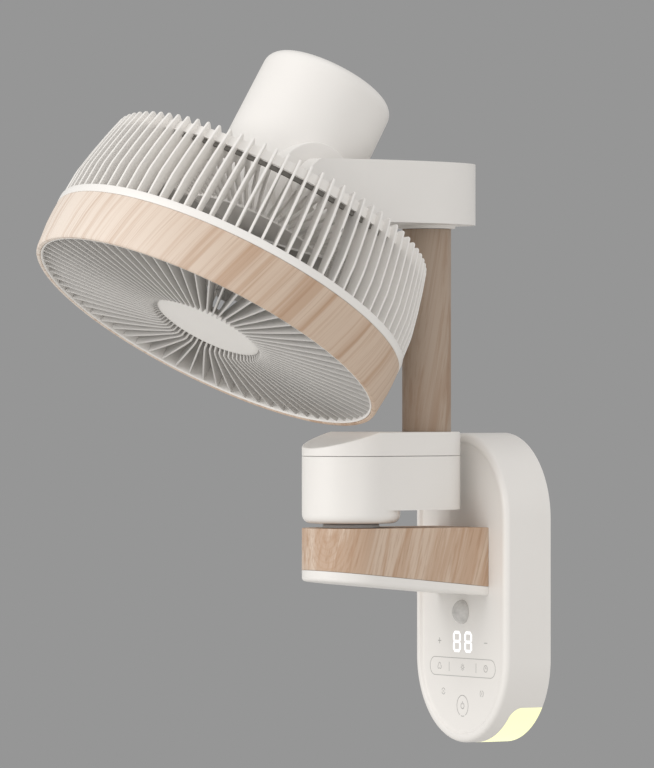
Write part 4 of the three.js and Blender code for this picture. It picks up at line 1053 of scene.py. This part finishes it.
class FAN_OT_motor_housing(bpy.types.Operator):
    """Builds the round motor housing with the side boss that it tilts on"""
    bl_idname = "fan.motor_housing"
    bl_label = "Motor housing"

    def execute(self, context):
        s = context.scene.fan_head
        rounding = s.rear_round / MM
        rear = MOTOR_R - s.motor_taper / MM
        outside = [(0, MOTOR_REAR), (rear - rounding - 0.6, MOTOR_REAR)]
        for step in range(ROUND_STEPS + 1):
            a = math.radians(90 * step / ROUND_STEPS)
            outside.append((rear - rounding + rounding * math.sin(a),
                            MOTOR_REAR + rounding - rounding * math.cos(a)))
        outside += [(rear + 0.03, MOTOR_REAR + rounding + 1), (MOTOR_R, MOTOR_FRONT)]
        inside = [(MOTOR_R - MOTOR_WALL, MOTOR_FRONT), (rear - MOTOR_WALL, MOTOR_REAR + rounding),
                  (rear - rounding, MOTOR_REAR + MOTOR_WALL), (0, MOTOR_REAR + MOTOR_WALL)]
        piece("motor_shell", spun(outside + inside, HEAD, 128), "white", "fan_head",
              ["motor_housing"])
        boss = fillet([(TILT_HOLE_R, BOSS_ROOT), (BOSS_R, BOSS_ROOT), (BOSS_R, BOSS_FACE),
                       (NECK_R, BOSS_FACE), (NECK_R, HUB_IN - 0.3), (TILT_HOLE_R, HUB_IN - 0.3)], 1.6, 4)
        piece("tilt_boss", spun(boss, SIDEWAYS, closed=True), "white", "fan_head")
        return {"FINISHED"}


def repeat_round(bm, copies):
    """Copies what is drawn round the head's axis. The last copy lands on the first, and is merged into it."""
    bmesh.ops.spin(bm, geom=bm.verts[:] + bm.edges[:] + bm.faces[:], cent=TILT, axis=AIR,
                   angle=2 * math.pi, steps=copies, use_duplicate=True, use_merge=False)
    bm.verts.index_update()
    bmesh.ops.remove_doubles(bm, verts=bm.verts, dist=1e-6)
    seen = set()
    doubled = []
    for face in bm.faces:
        corners = tuple(sorted(v.index for v in face.verts))
        if corners in seen:
            doubled.append(face)
        seen.add(corners)
    bmesh.ops.delete(bm, geom=doubled, context="FACES_ONLY")


def fin_row(outline, thickness, copies, edge):
    """Repeats a flat fin, drawn in radius and place, round the head's axis."""
    bm = bmesh.new()
    slab(bm, outline, -thickness / 2, thickness / 2, HEAD @ Matrix.Rotation(math.radians(90), 4, "X"))
    round_edges(bm, edge, lambda p: True, 1, 50)
    first = Matrix.Translation(TILT) @ Matrix.Rotation(math.pi / copies, 4, AIR) @ Matrix.Translation(-TILT)
    bmesh.ops.transform(bm, matrix=first, verts=bm.verts)
    repeat_round(bm, copies)
    return bm


GUIDE_R = 106                       # opening of the air guide, which stands in front of the blades' tips
GUIDE_HOLES = ((138.5, 30, 3.6), (126, 20, 2.2))        # rows of oval holes, drawn as dark ovals of painted shade: radius, number and half length


class FAN_OT_rear_grille(bpy.types.Operator):
    """Builds the rear grille: thin fins, the plain ring, the hoop and the centre ring"""
    bl_idname = "fan.rear_grille"
    bl_label = "Rear grille"

    def execute(self, context):
        s = context.scene.fan_head
        centre = MOTOR_R + 9
        # a fin runs back from the plain ring, round the shoulder and in to the centre ring
        outer = fillet([(RING_R - 1, RING_BACK + 1), (RING_R - 2.4, 66), (TIP_R + 10, 46), (TIP_R + 5.6, 27),
                        (TIP_R + 0.6, TIP_S), (TIP_R - 8.5, TIP_S + 4.6), (TIP_R - 20, 21), (102, 31),
                        (centre - 2, 41)], 3, 4)
        inner = [(centre - 2, 45), (102, 38), (TIP_R - 18, 29), (TIP_R - 10.5, 31), (TIP_R - 6, 42),
                 (TIP_R, 60), (RING_R - 11, RING_BACK + 1)]
        piece("rear_fins", fin_row(outer + inner, s.fin / MM, s.rear_fins, 0.4), "grille", "fan_head",
              ["rear_grille"])
        plain_ring = fillet(box_profile(RING_IN, RING_R, RING_BACK, WOOD_BACK - 0.3), 0.8, 3)
        spigot = box_profile(RING_IN, RING_IN + 2.4, WOOD_BACK - 1, WOOD_BACK + 8)
        centre_ring = fillet(box_profile(8, centre, MOTOR_FRONT + 0.3, MOTOR_FRONT + 6), 0.8, 3)
        bm = bmesh.new()
        turn(bm, plain_ring, HEAD, 192, closed=True)
        turn(bm, spigot, HEAD, 192, closed=True)
        turn(bm, centre_ring, HEAD, 128, closed=True)
        piece("grille_rings", bm, "white", "fan_head")
        hoop = [(TIP_R - 4.6, 13.5), (TIP_R - 3.2, 13.5), (TIP_R - 1.2, 22.5), (TIP_R - 2.8, 22.5)]
        piece("rear_hoop", spun(hoop, HEAD, 192, closed=True), "grille", "fan_head")
        # painted shadow: a dark ring under the hoop stands for the shade between the fins there
        slots = [(TIP_R - 6.2, 22.8), (TIP_R - 3.4, 22.8), (TIP_R - 2.6, 26.6), (TIP_R - 5.4, 26.6)]
        piece("hoop_shadow_ring", spun(slots, HEAD, 192, closed=True), "painted_shade", "fan_head")
        self.air_guide()
        return {"FINISHED"}

    def air_guide(self):
        """The flat guide in front of the blades' tips, with a rolled inner lip and two rows of oval holes drawn
        as dark ovals of painted shade.
        """
        outer = RING_R - 11
        flat = fillet([(GUIDE_R, 88.4), (outer, 89.6), (outer, 91), (GUIDE_R, 89.8)], 0.4, 2)
        piece("air_guide", spun(flat, HEAD, 192, closed=True), "shroud", "fan_head")
        # painted shade: the rolled lip takes the darker, duller finish for the shade under it
        lip = fillet(box_profile(GUIDE_R - 2.4, GUIDE_R, 87.4, 90.2), 0.8, 3)
        piece("air_guide_lip", spun(lip, HEAD, 192, closed=True), "painted_shade", "fan_head")
        bm = bmesh.new()
        for radius, holes, half_length in GUIDE_HOLES:
            angles = [math.pi * k / 8 for k in range(16)]
            oval = [(1.7 * math.cos(a), half_length * math.sin(a)) for a in angles]
            for i in range(holes):
                around = HEAD @ Matrix.Rotation(2 * math.pi * i / holes, 4, "Z")
                slab(bm, oval, -1.2, 0.2, around @ Matrix.Translation((radius * MM, 0, 89.4 * MM)))
        # the holes are not cut: dark ovals on the guide are painted shade for the dark seen through them
        piece("air_guide_hole_shadows", bm, "dark", "fan_head")


class FAN_OT_wood_band(bpy.types.Operator):
    """Builds the wood look band round the front of the head"""
    bl_idname = "fan.wood_band"
    bl_label = "Wood band"

    def execute(self, context):
        outside = [(RING_R - 0.3, WOOD_BACK), (RING_R + 0.1, WOOD_BACK + 10), (RING_R, WOOD_BACK + 20),
                   (RING_R - 0.9, WOOD_BACK + 30), (WOOD_FRONT_R + 1.2, WOOD_FRONT - 3),
                   (WOOD_FRONT_R + 0.6, WOOD_FRONT - 0.8), (WOOD_FRONT_R - 0.2, WOOD_FRONT),
                   (WOOD_FRONT_R - 2.4, WOOD_FRONT)]
        inside = [(WOOD_FRONT_R - 3, WOOD_FRONT - 0.8), (WOOD_FRONT_R - 3, WOOD_FRONT - 6),
                  (RING_R - 3, WOOD_BACK)]
        bm = bmesh.new()
        turn(bm, outside + inside, HEAD, 192, closed=True)
        wrap_map(bm, HEAD, RING_R)
        piece("wood_look_band", bm, "band_wood", "fan_head", ["wood_band"])
        return {"FINISHED"}


class FAN_OT_front_grille(bpy.types.Operator):
    """Builds the front grille: its rim, the dished vanes and the plain hub disc"""
    bl_idname = "fan.front_grille"
    bl_label = "Front grille"

    def execute(self, context):
        s = context.scene.fan_head
        rim = WOOD_FRONT_R - 3.1
        crest = WOOD_FRONT - 0.5
        # a vane's face rises from the hub and runs flat to the rim, and the vane gets deeper on the way
        face = fillet([(HUB_R - 3, HUB_S - 3.2), (HUB_R + 2, HUB_S - 2.2), (HUB_R + 3.6, crest - 0.8),
                       (58, crest - 0.1), (100, crest - 0.2), (rim - 1, WOOD_FRONT - 1.6)], 2.2, 3)
        back = [(rim - 1, WOOD_FRONT - 18), (110, WOOD_FRONT - 15), (70, WOOD_FRONT - 13),
                (HUB_R - 3, HUB_S - 8)]
        piece("front_vanes", fin_row(face + back, s.vane / MM, s.front_vanes, 0.25), "vane", "fan_head",
              ["front_grille"])
        section = fillet([(rim - 2, 106), (rim, 106), (rim, WOOD_FRONT - 1), (rim - 1, WOOD_FRONT - 0.2),
                          (rim - 2, WOOD_FRONT - 1.2)], 0.5, 3, True)
        piece("front_rim", spun(section, HEAD, 192, closed=True), "white", "fan_head")
        bm = bmesh.new()
        turn(bm, fillet([(0, HUB_S - 4), (HUB_R, HUB_S - 4), (HUB_R, HUB_S - 2.2), (HUB_R - 4, HUB_S - 1.6),
                         (0, HUB_S - 1)], 0.8, 4), HEAD, 128)
        turn(bm, box_profile(HUB_R - 12, HUB_R - 2, HUB_S - 8, HUB_S - 4.1), HEAD, 96, closed=True)
        piece("front_hub", bm, "white", "fan_head", ["front_hub_disc"])
        return {"FINISHED"}


FAN_HUB_R, FAN_BACK, FAN_FRONT, BLADE_TIP_R = 34, 60, 94, 124
BLADE_ROOT_R, BLADE_THICK = FAN_HUB_R - 1.5, 1.7
HALF_SPAN, BULGE, NARROWING, SWEPT = 0.42, 0.13, 0.22, 0.28       # the blade's plan, in radians and shares
PITCH_AT_ROOT, PITCH_FALL, CAMBER = 13.5, 5, 3.2


class FAN_OT_impeller(bpy.types.Operator):
    """Builds the fan's hub and its swept blades"""
    bl_idname = "fan.impeller"
    bl_label = "Impeller"

    def execute(self, context):
        hub = fillet([(4.4, FAN_FRONT - 2), (FAN_HUB_R - 4, FAN_FRONT - 2.5), (FAN_HUB_R - 4, FAN_BACK + 2),
                      (11, FAN_BACK + 2), (11, FAN_BACK), (FAN_HUB_R, FAN_BACK), (FAN_HUB_R, FAN_FRONT - 3),
                      (FAN_HUB_R - 3, FAN_FRONT), (4.4, FAN_FRONT)], 1, 3)
        piece("fan_hub", spun(hub, HEAD, closed=True), "white", "rotor", ["impeller"])
        bm = bmesh.new()
        made = bmesh.ops.create_grid(bm, x_segments=12, y_segments=10, size=0.5)
        for vert in made["verts"]:
            self.place_on_blade(vert)
        bmesh.ops.solidify(bm, geom=bm.faces[:], thickness=BLADE_THICK * MM)
        bmesh.ops.transform(bm, matrix=HEAD, verts=bm.verts)
        repeat_round(bm, context.scene.fan_head.blades)
        piece("fan_blades", bm, "blade", "rotor", ())
        return {"FINISHED"}

    def place_on_blade(self, vert):
        """Bends a flat grid to the first blade: u runs across it from -1 to 1, v from root to tip."""
        u, v = vert.co.x * 2, vert.co.y + 0.5
        radius = BLADE_ROOT_R + (BLADE_TIP_R - BLADE_ROOT_R) * v
        half = (HALF_SPAN + BULGE * math.sin(math.pi * v)) * (1 - NARROWING * v)
        angle = half * u + SWEPT * v
        depth = (FAN_BACK + FAN_FRONT) / 2 + (PITCH_AT_ROOT - PITCH_FALL * v) * u - CAMBER * u * u
        vert.co = Vector((radius * math.cos(angle), radius * math.sin(angle), depth)) * MM


# ---------- finishes on the carried pieces ----------
class FAN_OT_inner_finishes(bpy.types.Operator):
    """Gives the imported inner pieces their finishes"""
    bl_idname = "fan.inner_finishes"
    bl_label = "Inner finishes"

    def execute(self, context):
        for node, finish in CAD_FINISH.items():
            slots = frame["nodes"][node].data.materials
            slots.clear()
            slots.append(FINISHES[finish])
        return {"FINISHED"}


# ---------- stage, in metres ----------
CAMERA_PLACE = Vector((4.6767, -2.9865, 0.168))
CAMERA_AZIMUTH, CAMERA_LENS = 59.0, 304.7
CAMERA_SIDE, CAMERA_RISE = -0.0006, 0.0078
FLOOR_HALF, FLOOR_DROP = 2.4, 0.32
WORLD_TINT, WORLD_STRENGTH = (1, 0.992, 0.982, 1), 0.62
LAMP_AIM = Vector((0, -0.16, 0.18))
LAMPS = (                                               # name, place, width, power and tint
    ("key_lamp", (-0.1, -3.1, 1.25), 1.8, 45, (1, 0.99, 0.98)),
    ("fill_lamp", (3.6, -0.6, 0.85), 2.0, 18, (1, 0.99, 0.98)),
    ("top_lamp", (0.6, 0.4, 2.8), 1.6, 9, (1, 1, 1)),
)


class FAN_OT_stage(bpy.types.Operator):
    """Sets the floor, the soft lamps and the camera"""
    bl_idname = "fan.stage"
    bl_label = "Stage"

    def execute(self, context):
        scene = context.scene
        self.floor()
        self.world(scene, scene.fan_finish.backdrop)
        self.lamps(scene)
        self.camera(scene)
        scene.view_settings.view_transform = "Standard"
        return {"FINISHED"}

    def floor(self):
        bm = bmesh.new()
        bmesh.ops.create_grid(bm, x_segments=8, y_segments=8, size=FLOOR_HALF)
        bmesh.ops.translate(bm, verts=bm.verts, vec=(0, 0, cad_box[0].z - FLOOR_DROP))
        mesh = bpy.data.meshes.new("floor")
        bm.to_mesh(mesh)
        bm.free()
        mesh.materials.append(moulded("floor_paint", tone(hex_to_linear("#DEDDDB")), 0.85, 4, 0.05))
        made = bpy.data.objects.new("floor", mesh)
        bpy.context.scene.collection.objects.link(made)

    def world(self, scene, backdrop):
        """Soft light from all round, while the camera, mirrors and glass see the plain backdrop instead."""
        world = bpy.data.worlds.new("studio")
        world.use_nodes = True
        scene.world = world
        tree = world.node_tree
        light = tree.nodes["Background"]
        join(tree, light, {"Color": WORLD_TINT, "Strength": WORLD_STRENGTH})
        seen = add(tree, "Background", {"Color": (*backdrop, 1)})
        shown = add(tree, "LightPath", output="Is Camera Ray")
        rays = shown.node.outputs
        for other in ("Is Glossy Ray", "Is Transmission Ray"):
            shown = add(tree, "Math", {0: shown, 1: rays[other]}, operation="MAXIMUM")
        mixed = add(tree, "MixShader", {0: shown, 1: light.outputs[0], 2: seen})
        join(tree, tree.nodes["World Output"], {"Surface": mixed})

    def lamps(self, scene):
        for name, place, width, power, tint in LAMPS:
            lamp = bpy.data.lights.new(name, "AREA")
            lamp.size = width
            lamp.energy = power
            lamp.color = tint
            made = bpy.data.objects.new(name, lamp)
            made.location = place
            made.rotation_euler = (LAMP_AIM - Vector(place)).to_track_quat("-Z", "Y").to_euler()
            scene.collection.objects.link(made)

    def camera(self, scene):
        camera = bpy.data.cameras.new("photo_camera")
        camera.lens = CAMERA_LENS
        camera.sensor_width = 36
        camera.shift_x = CAMERA_SIDE
        camera.shift_y = CAMERA_RISE
        camera.clip_end = 60
        made = bpy.data.objects.new("photo_camera", camera)
        made.location = CAMERA_PLACE
        made.rotation_euler = (math.radians(90), 0, math.radians(CAMERA_AZIMUTH))
        scene.collection.objects.link(made)
        scene.camera = made


class FAN_PT_panel(bpy.types.Panel):
    """Lists the fan's settings and the buttons that build it"""
    bl_idname = "FAN_PT_panel"
    bl_label = "Wall Fan"
    bl_space_type = "VIEW_3D"
    bl_region_type = "UI"
    bl_category = "Wall Fan"

    def draw(self, context):
        scene = context.scene
        for group in (scene.fan_unit, scene.fan_arm, scene.fan_head, scene.fan_finish):
            box = self.layout.box()
            for name in group.__annotations__:
                box.prop(group, name)
        for operator in OPERATORS:
            self.layout.operator(operator.bl_idname)


GROUPS = {
    "fan_unit": WallUnitSettings, "fan_arm": ArmSettings,
    "fan_head": HeadSettings, "fan_finish": FinishSettings,
}
OPERATORS = (
    FAN_OT_stage, FAN_OT_inner_finishes, FAN_OT_cover, FAN_OT_lens, FAN_OT_panel, FAN_OT_sensor,
    FAN_OT_lower_arm, FAN_OT_elbow, FAN_OT_column, FAN_OT_top_arm, FAN_OT_motor_housing, FAN_OT_rear_grille,
    FAN_OT_wood_band, FAN_OT_front_grille, FAN_OT_impeller,
)


def register():
    for name, group in GROUPS.items():
        bpy.utils.register_class(group)
        setattr(bpy.types.Scene, name, PointerProperty(type=group))
    for operator in OPERATORS:
        bpy.utils.register_class(operator)
    bpy.utils.register_class(FAN_PT_panel)


def unregister():
    bpy.utils.unregister_class(FAN_PT_panel)
    for operator in reversed(OPERATORS):
        bpy.utils.unregister_class(operator)
    for name, group in GROUPS.items():
        delattr(bpy.types.Scene, name)
        bpy.utils.unregister_class(group)


def main():
    register()
    FINISHES.update(make_finishes(bpy.context.scene.fan_finish))
    for operator in OPERATORS:
        group, name = operator.bl_idname.split(".")
        getattr(getattr(bpy.ops, group), name)()


if __name__ == "__main__":
    main()
